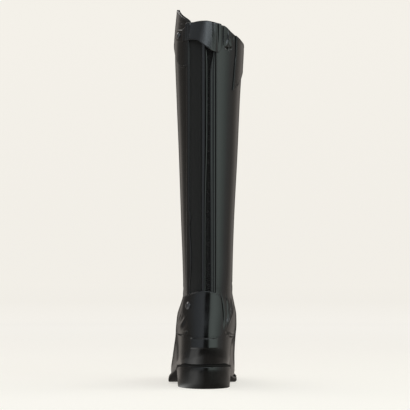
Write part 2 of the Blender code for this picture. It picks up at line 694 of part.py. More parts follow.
def lace_bar(start, stop):
    """Tube of lace over the instep between two eyelets given as (section, aside)."""
    share = np.linspace(0, 1, LACE_POINTS)
    q = start[0] + (stop[0] - start[0]) * share
    aside = start[1] + (stop[1] - start[1]) * share
    offset = EYELET_SEAT + EYELET_HEIGHT + LACE_CLEAR + LACE_RADIUS
    points = [Vector(p) for p in skin(q, front_turn(q, aside), offset)]
    mesh_data = bmesh.new()
    rings = []
    for k, point in enumerate(points):
        ahead = (points[min(k + 1, len(points) - 1)] - points[max(k - 1, 0)]).normalized()
        up = ahead.cross(Vector((1, 0, 0))).normalized()
        aside_axis = ahead.cross(up)
        ring = []
        for s in range(LACE_SIDES):
            angle = 2 * math.pi * (s + 0.5) / LACE_SIDES
            reach = aside_axis * math.cos(angle) + up * math.sin(angle)
            ring.append(mesh_data.verts.new(point + reach * LACE_RADIUS))
        rings.append(ring)
    bridge(mesh_data, rings, closed=False)
    mesh_data.faces.new(rings[0])
    mesh_data.faces.new(rings[-1])
    return mesh_data


def make_lace(places):
    """Crossed lacing, its bars joined into one solid that starts from a straight bar."""
    q, outer, inner = places[0]
    lace = make_object("lace", lace_bar((q, outer), (q, inner)), LACE_LOOK)
    for k, (below, above) in enumerate(zip(places, places[1:])):
        for side in (1, 2):
            start = (below[0], below[side])
            stop = (above[0], above[3 - side])
            bar = make_object(f"lace_bar_{k}_{side}", lace_bar(start, stop), LACE_LOOK)
            bar.hide_render = True
            bar.display_type = "WIRE"
            join = lace.modifiers.new(bar.name, "BOOLEAN")
            join.operation = "UNION"
            join.solver = "EXACT"
            join.object = bar


def make_lacing():
    offsets = (GAP, GAP + OVERLAY)
    grid_patch("eyestay_lateral", EYESTAY_ROWS, LATERAL_EYESTAY, THROAT, offsets, LEATHER_LOOK)
    grid_patch("eyestay_medial", EYESTAY_ROWS, MEDIAL_EYESTAY, MEDIAL_SIDE, offsets, LEATHER_LOOK)
    under = -WALL - GAP
    inside = (under - TONGUE_THICK, under)
    grid_patch("tongue", TONGUE_ROWS, LATERAL_EYESTAY, MEDIAL_SIDE, inside, LEATHER_LOOK)
    places = eyelet_places()
    for k, (q, outer, inner) in enumerate(places, start=1):
        make_eyelet(f"eyelet_lateral_{k}", q, front_turn(q, outer))
        make_eyelet(f"eyelet_medial_{k}", q, front_turn(q, inner))
    make_lace(places)


def centre_on_floor():
    """Move the boot so that the origin is the middle of its box, on the floor."""
    parts = [o for o in bpy.context.scene.objects if o.type == "MESH"]
    corners = np.array([v.co for o in parts if not o.hide_render for v in o.data.vertices])
    middle = (corners.min(axis=0) + corners.max(axis=0)) / 2
    boot = bpy.data.objects.new("boot", None)
    boot.location = (-middle[0], -middle[1], 0.0)
    bpy.context.collection.objects.link(boot)
    for part in parts:
        part.parent = boot


# Colour, roughness and metallic value of each kind of surface.
LEATHER_LOOK = ((0.012, 0.012, 0.013), 0.32)
BAND_LOOK = ((0.013, 0.013, 0.013), 0.30)
ELASTIC_LOOK = ((0.010, 0.010, 0.010), 0.80)
ZIP_LOOK = ((0.014, 0.014, 0.014), 0.35)
TAPE_LOOK = ((0.010, 0.010, 0.010), 0.85)
SNAP_LOOK = ((0.030, 0.030, 0.032), 0.22, 0.9)
EYELET_LOOK = ((0.020, 0.020, 0.020), 0.35, 0.6)
SPUR_REST_LOOK = ((0.014, 0.014, 0.014), 0.28)
LACE_LOOK = ((0.012, 0.012, 0.012), 0.75)
SOLE_LOOK = ((0.016, 0.015, 0.014), 0.55)
WELT_LOOK = ((0.018, 0.017, 0.016), 0.45)
HEEL_LOOK = ((0.014, 0.013, 0.012), 0.42)
INSOLE_LOOK = ((0.030, 0.028, 0.026), 0.70)

for old in list(bpy.data.objects):
    bpy.data.objects.remove(old, do_unlink=True)
make_upper()
make_back_closure()
make_top_band()
make_tabs()
make_heel_trim()
make_lacing()
make_insole()
make_welt()
make_outsole()
make_heel()
centre_on_floor()
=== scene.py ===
"""Looks of a left field boot: leather, elastic, zip, lacing, stitching and sole.

Sizes are in millimetres in the boot's own frame, with the heel at y = 0, the toe
towards +Y, the inner side towards +X and the floor at z = 0. Every mesh is moved
by SHIFT and turned into metres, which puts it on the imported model.

The upper is a function of q, the height at which a section starts at the back,
and turn, the angle round that section (0 back, a quarter outer side, a half front).
"""

import math

import bpy
import numpy as np
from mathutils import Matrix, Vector


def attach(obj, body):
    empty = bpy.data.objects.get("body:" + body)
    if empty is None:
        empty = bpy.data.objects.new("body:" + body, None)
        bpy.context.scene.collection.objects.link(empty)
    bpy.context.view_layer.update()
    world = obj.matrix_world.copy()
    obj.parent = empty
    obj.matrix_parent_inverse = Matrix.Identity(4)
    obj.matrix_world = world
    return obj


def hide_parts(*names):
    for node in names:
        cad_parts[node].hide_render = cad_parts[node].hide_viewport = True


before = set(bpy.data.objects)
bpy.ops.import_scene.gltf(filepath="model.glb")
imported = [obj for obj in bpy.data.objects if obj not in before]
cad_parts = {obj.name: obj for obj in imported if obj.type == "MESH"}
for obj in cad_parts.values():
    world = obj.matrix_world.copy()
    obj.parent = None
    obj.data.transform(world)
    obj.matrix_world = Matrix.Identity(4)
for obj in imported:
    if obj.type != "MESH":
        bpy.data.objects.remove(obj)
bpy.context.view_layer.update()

MM = 0.001
FULL_TURN = 2 * math.pi
SHIFT = np.array((-2.310, -131.070, 0.0))
SIDES = (("lateral", -1), ("medial", 1))
GAP = 0.3
WALL = 2.2
OVERLAY = 1.2
OVERLAY_LOW = GAP - 0.25
OVERLAY_TOP = GAP + OVERLAY
TRIM_SINK = 0.4

# Sections of the last and shaft, from back point to front point.
SECTION_COLUMNS = (
    "back_z", "back_y", "front_y", "front_z", "lateral", "medial", "back_x", "front_x",
    "back_full", "front_full", "widest", "waist_lateral", "waist_medial", "sole",
)
SECTIONS = {
    "feather": (31.5, 5, 275.5, 12.5, 43.5, 39.5, 2, 2, 3.6, 2.2, 0.64, 7.5, 12.5, 1),
    "wall": (42, 1.5, 278.5, 21, 44.3, 41, 2, 2, 3.8, 2.2, 0.64, 7.2, 11.8, 0.85),
    "counter": (54, 0, 274.5, 35, 42.2, 41.2, 2, 2, 3.8, 2.2, 0.62, 5.5, 8.5, 0.5),
    "toe_top": (66, 1, 257, 47, 40.2, 42, 2.2, 2.5, 3.5, 2.2, 0.6, 3, 4.5, 0.25),
    "vamp": (78, 3, 228, 56, 38.4, 42.9, 2.5, 3, 3.2, 2.1, 0.59, 1, 1.5, 0.1),
    "high_vamp": (90, 5.5, 196, 67, 37, 43.1, 2.9, 3.5, 3, 2.1, 0.58, 0, 0, 0),
    "instep": (103, 8, 166, 83, 35.3, 42.7, 3.4, 4, 2.7, 2.1, 0.56, 0, 0, 0),
    "throat": (118, 10, 141, 102, 30, 39.6, 4, 4.5, 2.5, 2.1, 0.53, 0, 0, 0),
    "neck": (126, 10, 130.5, 113.5, 27.6, 37.7, 4.6, 4.8, 2.4, 2.1, 0.52, 0, 0, 0),
    "ankle": (135, 9.5, 122, 127, 27.4, 37.2, 5, 5, 2.4, 2.1, 0.51, 0, 0, 0),
    "shaft_foot": (160, 7.5, 110, 160, 28, 37.6, 5, 5, 2.4, 2.1, 0.5, 0, 0, 0),
    "lower_calf": (215, 1, 108, 215, 30, 39.3, 4.8, 4.8, 2.4, 2.1, 0.5, 0, 0, 0),
    "calf": (300, -8, 112, 300, 32.8, 43.6, 5.4, 5.4, 2.4, 2.1, 0.5, 0, 0, 0),
    "high_calf": (380, -12, 118, 380, 36, 47.2, 5.6, 5.6, 2.4, 2.1, 0.5, 0, 0, 0),
    "top": (440, -11, 123, 440, 37.9, 50.7, 6.4, 6.4, 2.4, 2.1, 0.5, 0, 0, 0),
    "peak": (500, -9, 128, 500, 33.4, 52, 9.3, 9.3, 2.4, 2.1, 0.5, 0, 0, 0),
}
FEATHER_Q = SECTIONS["feather"][0]
PEAK_Q = SECTIONS["peak"][0]
WAIST_LATERAL_Y = 88
WAIST_MEDIAL_Y = 104
WAIST_SPREAD = 42
BALL_SKEW = 0.035
FEATHER_Y = (0, 25, 50, 75, 100, 125, 150, 172, 205, 225, 250, 275, 285)
FEATHER_Z = (31.5, 31, 29.4, 25.6, 19.6, 13, 7, 4.5, 4.5, 5.6, 8.4, 12.5, 14.2)
TOPLINE_DEGREES = (0, 30, 45, 60, 75, 90, 118, 150, 180, 215, 245, 270, 285, 300, 318, 335, 350, 360)
TOPLINE_Z = (471, 473.2, 479.3, 484.4, 489.8, 493.5, 487, 477, 471, 458, 449, 447.5, 449.7,
             454, 460.8, 469.4, 470.8, 471)
TOPLINE_BLEND_FROM = 420
TOPLINE_COLUMNS_AT = 470
NORMAL_STEP_Q = 0.2
NORMAL_STEP_TURN = 0.004
TURN_HALVINGS = 26
PLACE_ROUNDS = 7

# Openings of the upper, and the cells of its mesh: down, and along each stretch round it.
SLOT_LATERAL_X = -19
SLOT_MEDIAL_X = 15
SLOT_BOTTOM = 117
THROAT_BOTTOM = 103
THROAT_TOP = 150
THROAT_HALF_BOTTOM = 7
THROAT_HALF_TOP = 11
EYESTAY_WIDTH = 14
EDGE_STEPS = (0.0, 0.2, 0.6, 1.2)
EDGE_RADIUS = 0.9
SHARP_DEGREES = 50
UPPER_ROW_STOPS = (FEATHER_Q, 58, THROAT_BOTTOM, SLOT_BOTTOM, THROAT_TOP, 200, TOPLINE_BLEND_FROM)
UPPER_ROW_CELLS = (9, 60, 18, 18, 9, 24)
UPPER_TOP_CELLS = 20
ROW_TOLERANCE = 0.01
EVEN = ((0, 0), (1, 1))
CLOSE_AT_START = ((0, 0), (0.45, 0.18), (0.75, 0.42), (1, 1))
CLOSE_AT_END = ((0, 0), (0.25, 0.58), (0.55, 0.82), (1, 1))
UPPER_STRETCHES = ((110, CLOSE_AT_START), (14, EVEN), (110, CLOSE_AT_END), (16, EVEN))
STRETCH_SIZES = [cells + 2 * (len(EDGE_STEPS) - 1) for cells, _ in UPPER_STRETCHES]
THROAT_START, THROAT_STOP, SLOT_START, SLOT_STOP = np.cumsum(STRETCH_SIZES)

# Creases of the leather at the back, as depth, width and (x, z) seen from behind:
# troughs have a positive depth, ridges a negative one.
BACK_CREASES = (
    (2.2, 1.7, ((21, 122.5), (23.6, 109), (25.2, 90), (25.6, 74.2))),
    (-0.8, 1.7, ((24.2, 120.5), (27.2, 104), (27.8, 90), (26.4, 78))),
    (1.9, 1.8, ((28, 121.5), (30.4, 109), (30.6, 95), (27.6, 77.5))),
    (-0.9, 1.8, ((31.6, 117.5), (33.2, 105), (32.4, 93), (29.4, 82))),
    (1.9, 1.9, ((35, 117.5), (35.8, 106), (33.6, 93), (29.4, 79))),
    (-0.9, 2.2, ((38.6, 113), (37.6, 99), (32.6, 83))),
    (1.8, 1.2, ((27.6, 73), (33, 71), (38.8, 69.4))),
    (2.0, 1.2, ((29.6, 67.8), (35, 66), (40.8, 64.2))),
    (-1.0, 1.5, ((29, 70.4), (34.5, 68.6), (39.8, 66.8))),
    (1.4, 1.3, ((-38.5, 70.4), (-31, 68.8), (-25, 69.4), (-20, 75.5))),
    (-1.6, 4.0, ((-33.5, 77), (-28, 83.5), (-24, 91))),
    (1.0, 1.3, ((-27, 98.5), (-22.4, 92.5), (-19.6, 84), (-18.6, 78))),
    (-0.8, 1.1, ((-27.5, 73), (-23, 73.8), (-19, 75.4))),
    (0.7, 1.6, ((-37, 78), (-32.5, 88), (-29, 97))),
    (-1.9, 1.5, ((31.8, 463), (31, 450), (27.6, 442.6))),
    (-1.7, 1.5, ((32.2, 455.5), (34, 449), (36.4, 442.6))),
    (2.2, 1.3, ((25.4, 441.2), (31, 440.2), (37.4, 440.8))),
    (1.0, 1.4, ((36, 458), (38.4, 454), (37.2, 448.6))),
    (1.3, 1.3, ((24.4, 470.5), (24.6, 456), (24, 441))),
    (0.5, 1.2, ((-34.5, 485), (-30, 481), (-25, 478))),
    (0.6, 1.3, ((-35, 477.5), (-29.5, 474.6), (-23.5, 472.6))),
    (0.5, 1.2, ((-35.5, 470.8), (-31, 469), (-26, 468.4))),
    (0.6, 0.9, ((38.5, 398), (42, 394), (46, 393))),
    (0.6, 0.9, ((38.5, 391), (42, 388), (45.5, 384))),
)
# Creases elsewhere, as (q, degrees).
SIDE_CREASES = (
    (0.8, 3.4, ((134, 82), (127, 112), (119, 142))),
    (-0.6, 3.4, ((139, 92), (134, 116), (129, 136))),
    (0.5, 2.8, ((150, 106), (143, 124), (136, 146))),
    (0.4, 2.4, ((123, 98), (120, 112), (117.5, 124))),
    (0.9, 3.6, ((129, 278), (125.5, 250), (119, 219))),
    (-0.6, 3.2, ((135, 268), (131, 246), (128, 228))),
    (0.5, 2.8, ((149, 256), (142, 238), (134, 215))),
    (0.35, 2.4, ((141, 284), (138.5, 272), (137.5, 258))),
)
CREASE_SAMPLES = 40
CREASE_REACH = 4
CREASE_TAPER = 0.7
CREASE_FALL = 1.2

# Leather binding along the outer edge of the elastic; its free side waves a little.
BINDING_OUTER_X = -22.8
BINDING_Z = (118, 128, 147, 172, 190, 208, 222, 232, 270, 470)
BINDING_INNER_X = (-18.4, -18.4, -16.9, -16.1, -16.9, -18, -16.8, -18.6, -18.7, -18.6)
BINDING_OFFSETS = (0.05, 0.55)
BINDING_SWELL = 0.45
BINDING_WIDTH = 5.0
BINDING_CELLS = 14
BINDING_RADIUS = 0.5
BINDING_ROUND = 0.7

# Top band.
BAND_DEGREES = (30, 50, 65, 80, 95, 130, 180, 230, 270, 288, 305, 320)
BAND_LOW_Z = (418, 415.5, 423, 438, 448, 447, 436, 416, 411, 400, 388, 385)
BAND_EDGE_TURN = math.radians(314)
BAND_EDGE_Q = (385, 400, 418, 436, 456, 470)
BAND_EDGE_SHIFT = (-0.02, -0.045, -0.06, -0.085, -0.08, -0.06)
BAND_EDGE_BLEND = 0.5
BAND_CELLS = (260, 44)
BAND_MEASURED_AT = 440
BAND_HEIGHT = 60.0

# Zip and elastic.
STRIP_TOP = 470
STRIP_CELLS = 150
ELASTIC_X = (SLOT_LATERAL_X + GAP, -3.7)
ELASTIC_OFFSETS = (-1.6, -0.5)
ELASTIC_RIBS = 12
ELASTIC_RIB_CELLS = 6
ELASTIC_RIB_HEIGHT = 0.14
FACING_OUTER_X = ELASTIC_X[1] + GAP
FACING_INNER_X = SLOT_MEDIAL_X - GAP
FACING_OFFSETS = (-0.9, -0.1)
FACING_SWELL = 0.75
FACING_WIDTH = 6.5
FACING_CELLS = 16
FACING_RADIUS = 0.7
FACING_ROUND = 0.8
TEETH_EDGE_Z = (118, 230, 330, 405, 420, 436, 470)
TEETH_EDGE_OUTER = (1.9, 2.2, 4.4, 4.6, 4.5, 3.9, 3.6)
TEETH_EDGE_INNER = (8.4, 8.0, 7.2, 7.2, 8.8, 12.0, 12.4)
TOOTH_PITCH = 2.5
TOOTH_HALF_SIZE = (1.8, 0.55, 0.75)
TOOTH_X_LEAN = ((3.7, -0.12), (6.7, 0.12))
TOOTH_ENDS = (1.5, 2.0)
TOOTH_OFFSET = -1.7
TAPE_X = (-2.5, 14)
TAPE_OFFSETS = (-3.1, -2.7)
CAPSULE_FULL = 0.6

# Pieces on the back, as rows of x, lower edge, upper edge and any stand-off there.
EDGED_COLUMNS = ("x", "low", "high", "stand_off")
TOP_TAB = (
    (-35.2, 454.5, 459.5, 1.9), (-33.6, 450.6, 463.4, 1.9), (-30, 449.2, 464.8, 1.9),
    (-26.5, 449, 464.6, 1.9), (-23.5, 449.8, 467.5, 2), (-20.5, 450.3, 473.6, 2.1),
    (-14, 450.4, 473.8, 2.6), (-7, 450, 474.8, 3.4), (-2.5, 446.6, 475.2, 4.1),
    (3, 441.6, 475.3, 4.5), (7.5, 437.8, 474.7, 4), (12.5, 435.2, 473.7, 2.5),
    (18.5, 434.5, 472.2, 0.8), (22, 440.5, 471.2, 0.3),
)
TOP_TAB_CELLS = (150, 34)
TOP_TAB_STEP_X = (-16.2, -15.9)
TOP_TAB_STEP = 1.0
TOP_TAB_GATHERS_FROM = (-23.6, -22.4)
TOP_TAB_GATHERS_TO = (-17.2, -16.6)
TOP_TAB_GATHER_PITCH = 2.5
TOP_TAB_GATHER = 0.42
TOP_TAB_LEAN = 4.2
TOP_TAB_LEAN_FROM = (-16.2, -15.6)
TOP_TAB_LEAN_TO = (12, 19)
# Upright ridge and groove across the top tab, as height, x and width.
TOP_TAB_RIDGES = ((0.4, -25, 0.6), (-0.8, 16.8, 1.3))
ANKLE_TAB = (
    (-26, 101.5, 114.5), (-24.5, 96.5, 118), (-22.4, 92.5, 119.8), (-18.4, 82.6, 121.8),
    (-15.5, 69.5, 123), (-11.5, 68.3, 124.6), (-7.5, 68, 126), (-1.3, 68, 127), (4, 68, 126.7),
    (9, 68, 125.9), (14.5, 68, 124.6), (19.2, 68.2, 121), (21.5, 70, 110.6), (23, 76, 93),
)
ANKLE_TAB_CELLS = (96, 60)
TAB_THICK = 1.8
ANKLE_TAB_STAND_OFF = 0.5
ANKLE_TAB_TOP = ANKLE_TAB_STAND_OFF + TAB_THICK
# Snaps: tab, place as (x, z), radius and height of the tab's face there.
SNAPS = (
    ("top", (-30.5, 457.5), 4.4, TOP_TAB[0][3] + TAB_THICK - TOP_TAB_STEP),
    ("ankle", (-18.8, 107), 5.0, ANKLE_TAB_TOP),
)
SNAP_SINK = 0.2
SNAP_PROFILE = (
    (0, 2.55), (0.25, 2.5), (0.5, 2.3), (0.68, 1.95), (0.78, 1.55), (0.83, 1.25), (0.87, 1.2),
    (0.93, 1.35), (0.99, 1.15), (1, 0.8), (1, 0),
)
COUNTER = (
    (-25, 33.4, 69.5), (-20, 32.6, 68.8), (-15, 32.2, 67.7), (-10, 32, 67.7), (-5, 31.9, 67.7),
    (0, 31.9, 67.7), (5, 31.9, 67.7), (10, 32, 67.7), (14.5, 32.2, 67.7), (17, 32.3, 54.5),
    (21, 32.6, 49.5), (25, 33.2, 45),
)
COUNTER_CELLS = (80, 40)
COUNTER_STAND_OFF = 0.45
COUNTER_BLEND_Z = (60, 67.5)
SPUR_REST_X = (-15, 16)
SPUR_REST_Z = (52, 66)
SPUR_REST_CELLS = (60, 26)
SPUR_REST_OFFSETS = (COUNTER_STAND_OFF + OVERLAY, 4.8)
SPUR_REST_RADIUS = 1.6

# Lacing.
EYELET_PAIRS = 5
EYELET_FIRST = 106
EYELET_STEP = 10.2
EYELET_INSET = 6.6
EYELET_SEAT = OVERLAY_TOP + 0.1
EYELET_SIDES = 28
EYELET_PROFILE = (
    (1.75, -1.2), (1.75, 0.55), (1.95, 0.95), (2.35, 1.15), (2.8, 1), (3.2, 0.5), (3.3, 0), (3.2, -0.6),
)
LACE_RADIUS = 1.1
LACE_SIDES = 10
LACE_POINTS = 420
LACE_OVER = OVERLAY_TOP + 1.15 + LACE_RADIUS
LACE_UNDER = -WALL - LACE_RADIUS - 0.2
LACE_CROSSINGS = (1.3, -0.1)
LACE_BAR_SHARE = 0.7
LACE_HOLE_LIFT = 1
LACE_HOLE_DROP = 0.6
# Past an eyelet, at the throat's edge and before the next eyelet: way up or down, and inwards.
LACE_OUT = (0.18 * EYELET_STEP, 3.2)
LACE_EDGE = (0.2 * EYELET_STEP, 0.6)
LACE_EDGE_LIFT = 1.1
LACE_IN = (0.08 * EYELET_STEP, 2.2)
TONGUE_ROWS = (90, 160)
TONGUE_POINTS = (31, 50)
TONGUE_OFFSETS = (-6.6, -5)
EYESTAY_ROWS = (96.5, 160)
EYESTAY_LENGTH = 95.0
EYESTAY_CELLS = (14, 70)

# Sole parts; profiles are insets or reaches with the height there.
SOLE_REACH_Y = (0, 60, 105, 150, 280)
SOLE_REACH = (3.2, 3.2, 2.4, 4.2, 4)
OUTSOLE_THICK_Y = (0, 66, 125, 285)
OUTSOLE_THICK = (2.5, 2.5, 4.2, 4.2)
SOLE_HALF_STEPS = 130
OUTSOLE_PROFILE = (
    (0.9, 0), (0.3, 0.08), (0, 0.25), (0, 0.52), (0.3, 0.58), (0.3, 0.64), (0, 0.7), (0, 0.88), (0.35, 1),
)
WELT_FROM_Y = 72
WELT_PROFILE = (
    (1.7, 0), (1.7, 1.7), (1.75, 2.1), (2.5, 2.2), (3.4, 2.2), (3.72, 1.95), (3.85, 1.5), (3.85, 0.3),
    (3.7, 0),
)
WELT_STEPS = 360
WELT_INSIDE = 1.7
WELT_OUTSIDE = 3.85
WELT_LEAST = 0.4
WELT_INSET = 0.3
INSOLE_PROFILE = ((WALL + 1.2, 0), (WALL + 1.2, 2.4), (WALL + 1.7, 3))
INSOLE_HALF_STEPS = 80
HEEL_BREAST_TOP = 68
HEEL_BREAST_FOOT = 64
HEEL_BACK_RUN_IN = 2
HEEL_FOOT_SCALE = 0.955
HEEL_HALF_WIDTH = 34
HEEL_STATIONS = 60
HEEL_ROWS = (
    (0, 0.8), (0.006, 0.3), (0.02, 0), (0.25, 0), (0.5, 0), (0.75, 0), (0.97, 0), (0.985, 0.12), (1, 0.4),
)

# Stitches, and the upright rows of them at the back as x and offset.
STITCH_PITCH = 2.9
STITCH_SIZE = (1.1, 0.28, 0.28)
STITCH_AHEAD = 0.5
STITCH_BACK_ROWS = (
    (BINDING_OUTER_X + 0.9, BINDING_OFFSETS[1] + 0.2),
    (FACING_OUTER_X + 1, FACING_OFFSETS[1] + 0.35),
    (FACING_INNER_X - 0.9, FACING_OFFSETS[1] + 0.3),
    (SLOT_MEDIAL_X + 2, 0),
)
STITCH_BACK_ENDS = (10, 24)
STITCH_EYESTAY_INSETS = (1.8, EYESTAY_WIDTH - 1.8)
STITCH_BAND_ENDS = (0.05, 0.03)
STITCH_BAND_INSETS = (2.4, 3)
STITCH_BAND_EDGE_Q = (390, 452)
STITCH_BAND_EDGE_INSET = 0.045
STITCH_MARGIN = 2

# Patterns of the materials: scales per metre, the part of a pattern that is used and depths of relief.
CLOUD_SCALE = 38
CELL_SCALE = 900
PORE_SCALE = 2430
FUZZ_SCALE = 1800
MOTTLE_SCALE = 160
SPECKLE_SCALE = 2200
PATTERN = (0.3, 0.7)
GRAIN_DEPTH = 0.0004
SPECKLE_DEPTH = 0.0003
COAT_ROUGHNESS = 0.08

# Camera, seen from straight behind and level with the middle of the shaft.
CAMERA_AT = (1.3, -4000, 238)
CAMERA_LENS = 272
CAMERA_SENSOR = 36
CAMERA_CLIP_END = 100

# Light round the boot, in metres: bearing from the camera's side in degrees, minus is left; level; colour.
COOL = (0.86, 0.93, 1.0)
GREEN = (0.86, 1.0, 0.94)
WARM = (1.0, 0.92, 0.84)
PLAIN = (1.0, 1.0, 0.98)
RING = (
    (-90, 0.24, PLAIN), (-62, 0.46, COOL), (-30, 0.62, COOL), (-15, 0.55, COOL), (-9, 0.03, PLAIN),
    (16, 0.03, PLAIN), (24, 1.15, GREEN), (45, 1.30, GREEN), (62, 1.10, GREEN), (78, 0.75, GREEN),
    (96, 0.40, PLAIN), (120, 0.24, WARM), (150, 0.35, WARM), (162, 0.25, WARM), (170, 0.02, WARM),
    (190, 0.02, WARM), (199, 0.30, WARM), (210, 0.40, WARM), (224, 0.15, WARM), (250, 0.16, WARM),
    (270, 0.24, PLAIN),
)
RING_RADIUS = 2.2
RING_Z = (-0.6, 1.08)
RING_SIDES = 72
# What the leather mirrors of the floor round the boot, and close to the counter.
FLOOR_CARD = (
    (-90, 0.20, PLAIN), (-80, 0.75, PLAIN), (-46, 0.90, PLAIN), (-28, 0.08, WARM), (30, 0.06, WARM),
    (72, 0.16, WARM), (126, 0.22, WARM), (146, 0.40, WARM), (180, 0.20, WARM), (214, 0.45, WARM),
    (236, 0.12, WARM), (270, 0.20, PLAIN),
)
FLOOR_NEAR = (
    (-90, 0.30, PLAIN), (-46, 1.25, PLAIN), (-20, 0.50, PLAIN), (-4, 0.18, WARM), (40, 0.16, WARM),
    (72, 0.26, WARM), (126, 0.30, WARM), (180, 0.20, WARM), (236, 0.20, WARM), (270, 0.30, PLAIN),
)
# Cards as name, radius, depth below the floor and rows.
CARDS = (("floor_card", 0.55, 0.001, FLOOR_CARD), ("floor_near", 0.17, 0.0006, FLOOR_NEAR))
# Light panels above the ring: first and last bearing; radiance; colour.
PANELS = (
    ("panel_front", -4, 46, 2.7, (0.84, 0.94, 1.0)),
    ("panel_front_edge", -4, -13, 2.1, (0.84, 0.94, 1.0)),
    ("panel_front_turn", -13, -23, 1.5, (0.84, 0.93, 1.0)),
    ("panel_front_side", -23, -34, 0.8, (0.84, 0.92, 1.0)),
    ("panel_front_left", -34, -104, 0.45, (0.84, 0.92, 1.0)),
    ("panel_high_left", -104, -168, 1.8, (1.0, 0.98, 0.95)),
    ("panel_high_right", 60, 125, 1.6, (0.97, 1.0, 0.98)),
)
PANEL_Z = (1.1, 2.1)
# Panel overhead: place, aim, size, radiance, colour.
PANEL_TOP = ((0.0, -0.3, 2.8), (0.0, 0.2, 0.0), (3.0, 3.0), 0.55, (1.0, 0.98, 0.95))
BOOT_MIDDLE_Y = -0.07
STAGE_RINGS = (0.3, 1.2, 2.4)
STAGE_FLOOR = 5.2
STAGE_COVE = 0.8
STAGE_TOP = 5.0
STAGE_SIDES = 96
STAGE_FADE = (0.3, 3.5)
STAGE_GLOW = ((0.55, 0.535, 0.50), (0.84, 0.818, 0.77), (0.818, 0.793, 0.742))
STAGE_PAPER = ((0.52, 0.507, 0.48), (0.16, 0.156, 0.15), (0.12, 0.118, 0.11))
WORLD_FALL = (-0.1, -0.5)
WORLD_TONES = ((0.04, 0.04, 0.038), (0.32, 0.30, 0.26))


def track(xs, ys):
    """Smooth curve through a short table that never overshoots its values."""
    xs = np.asarray(xs, float)
    ys = np.asarray(ys, float)
    steps = np.diff(xs)
    slopes = np.diff(ys) / steps
    grades = np.zeros_like(ys)
    for i in range(1, len(xs) - 1):
        if slopes[i - 1] * slopes[i] > 0:
            near = 2 * steps[i] + steps[i - 1]
            far = steps[i] + 2 * steps[i - 1]
            grades[i] = (near + far) / (near / slopes[i - 1] + far / slopes[i])
    grades[0], grades[-1] = slopes[0], slopes[-1]

    def curve(x):
        x = np.clip(np.asarray(x, float), xs[0], xs[-1])
        i = np.clip(np.searchsorted(xs, x, side="right") - 1, 0, len(xs) - 2)
        t = (x - xs[i]) / steps[i]
        rise = (1 + 2 * t) * (1 - t) ** 2 * ys[i] + t * t * (3 - 2 * t) * ys[i + 1]
        lean = t * (1 - t) ** 2 * grades[i] - t * t * (1 - t) * grades[i + 1]
        return rise + lean * steps[i]

    return curve


SECTION_VALUES = np.array(list(SECTIONS.values())).T
TRACKS = {name: track(SECTION_VALUES[0], values) for name, values in zip(SECTION_COLUMNS, SECTION_VALUES)}
feather_z = track(FEATHER_Y, FEATHER_Z)
topline = track(np.radians(TOPLINE_DEGREES), TOPLINE_Z)
band_low = track(np.radians(BAND_DEGREES), BAND_LOW_Z)
band_edge_shift = track(BAND_EDGE_Q, BAND_EDGE_SHIFT)
sole_reach = track(SOLE_REACH_Y, SOLE_REACH)
outsole_thick = track(OUTSOLE_THICK_Y, OUTSOLE_THICK)
binding_edge = track(BINDING_Z, BINDING_INNER_X)
teeth_edge_outer = track(TEETH_EDGE_Z, TEETH_EDGE_OUTER)
teeth_edge_inner = track(TEETH_EDGE_Z, TEETH_EDGE_INNER)


def arrays(*values):
    """Values as float arrays of one shape."""
    return np.broadcast_arrays(*(np.asarray(value, float) for value in values))


def unit(vectors):
    return vectors / np.linalg.norm(vectors, axis=-1, keepdims=True)


def throat_half(q):
    return np.interp(q, (THROAT_BOTTOM, THROAT_TOP), (THROAT_HALF_BOTTOM, THROAT_HALF_TOP))


def surface(q, turn):
    """Outer surface of the upper at section q and angle turn, as points (..., 3)."""
    q, turn = arrays(q, turn)
    row = {name: curve(q) for name, curve in TRACKS.items()}
    side = -np.sign(np.sin(turn))
    cosine = np.cos(turn)
    across = np.abs(np.sin(turn))
    widest = row["widest"] + BALL_SKEW * row["sole"] * side
    back_share = widest * (1 - np.abs(cosine) ** (2 / row["back_full"]))
    front_share = widest + (1 - widest) * np.abs(cosine) ** (2 / row["front_full"])
    share = np.where(cosine >= 0, back_share, front_share)

    def between(axis, at):
        return row["back_" + axis] + (row["front_" + axis] - row["back_" + axis]) * at

    y = between("y", share)
    half = (row["lateral"] + row["medial"]) / 2
    middle = (row["medial"] - row["lateral"]) / 2
    waist = np.where(side < 0, row["waist_lateral"], row["waist_medial"])
    waist_y = np.where(side < 0, WAIST_LATERAL_Y, WAIST_MEDIAL_Y)
    waist = waist * np.exp(-(((y - waist_y) / WAIST_SPREAD) ** 2)) * across
    bow = (share * (1 - share) / (row["widest"] * (1 - row["widest"]))) ** 2
    x = between("x", share) + (middle - between("x", row["widest"])) * bow + side * (half * across - waist)
    back_z, back_y, front_y, front_z = SECTIONS["feather"][:4]
    feather_rise = feather_z(back_y + (front_y - back_y) * share) - (back_z + (front_z - back_z) * share)
    z = between("z", share) + row["sole"] * feather_rise
    return np.stack([x, y, z], axis=-1)


def normal(q, turn):
    """Outward unit normal of the upper's surface."""
    along = surface(q, turn - NORMAL_STEP_TURN) - surface(q, turn + NORMAL_STEP_TURN)
    up = surface(q + NORMAL_STEP_Q, turn) - surface(q - NORMAL_STEP_Q, turn)
    return unit(np.cross(along, up))


def skin(q, turn, offset=0.0):
    """Point of the upper's surface, moved out along its normal."""
    q, turn, offset = arrays(q, turn, offset)
    return surface(q, turn) + offset[..., None] * normal(q, turn)


def turn_at_x(q, x, front=False):
    """Angle at which section q reaches x, on its back half or its front half."""
    q, x = arrays(q, x)
    lateral = np.full(q.shape, math.pi / 2)
    medial = np.full(q.shape, 1.5 * math.pi if front else -math.pi / 2)
    for _ in range(TURN_HALVINGS):
        guess = (lateral + medial) / 2
        too_lateral = surface(q, guess)[..., 0] < x
        lateral = np.where(too_lateral, guess, lateral)
        medial = np.where(too_lateral, medial, guess)
    return (lateral + medial) / 2


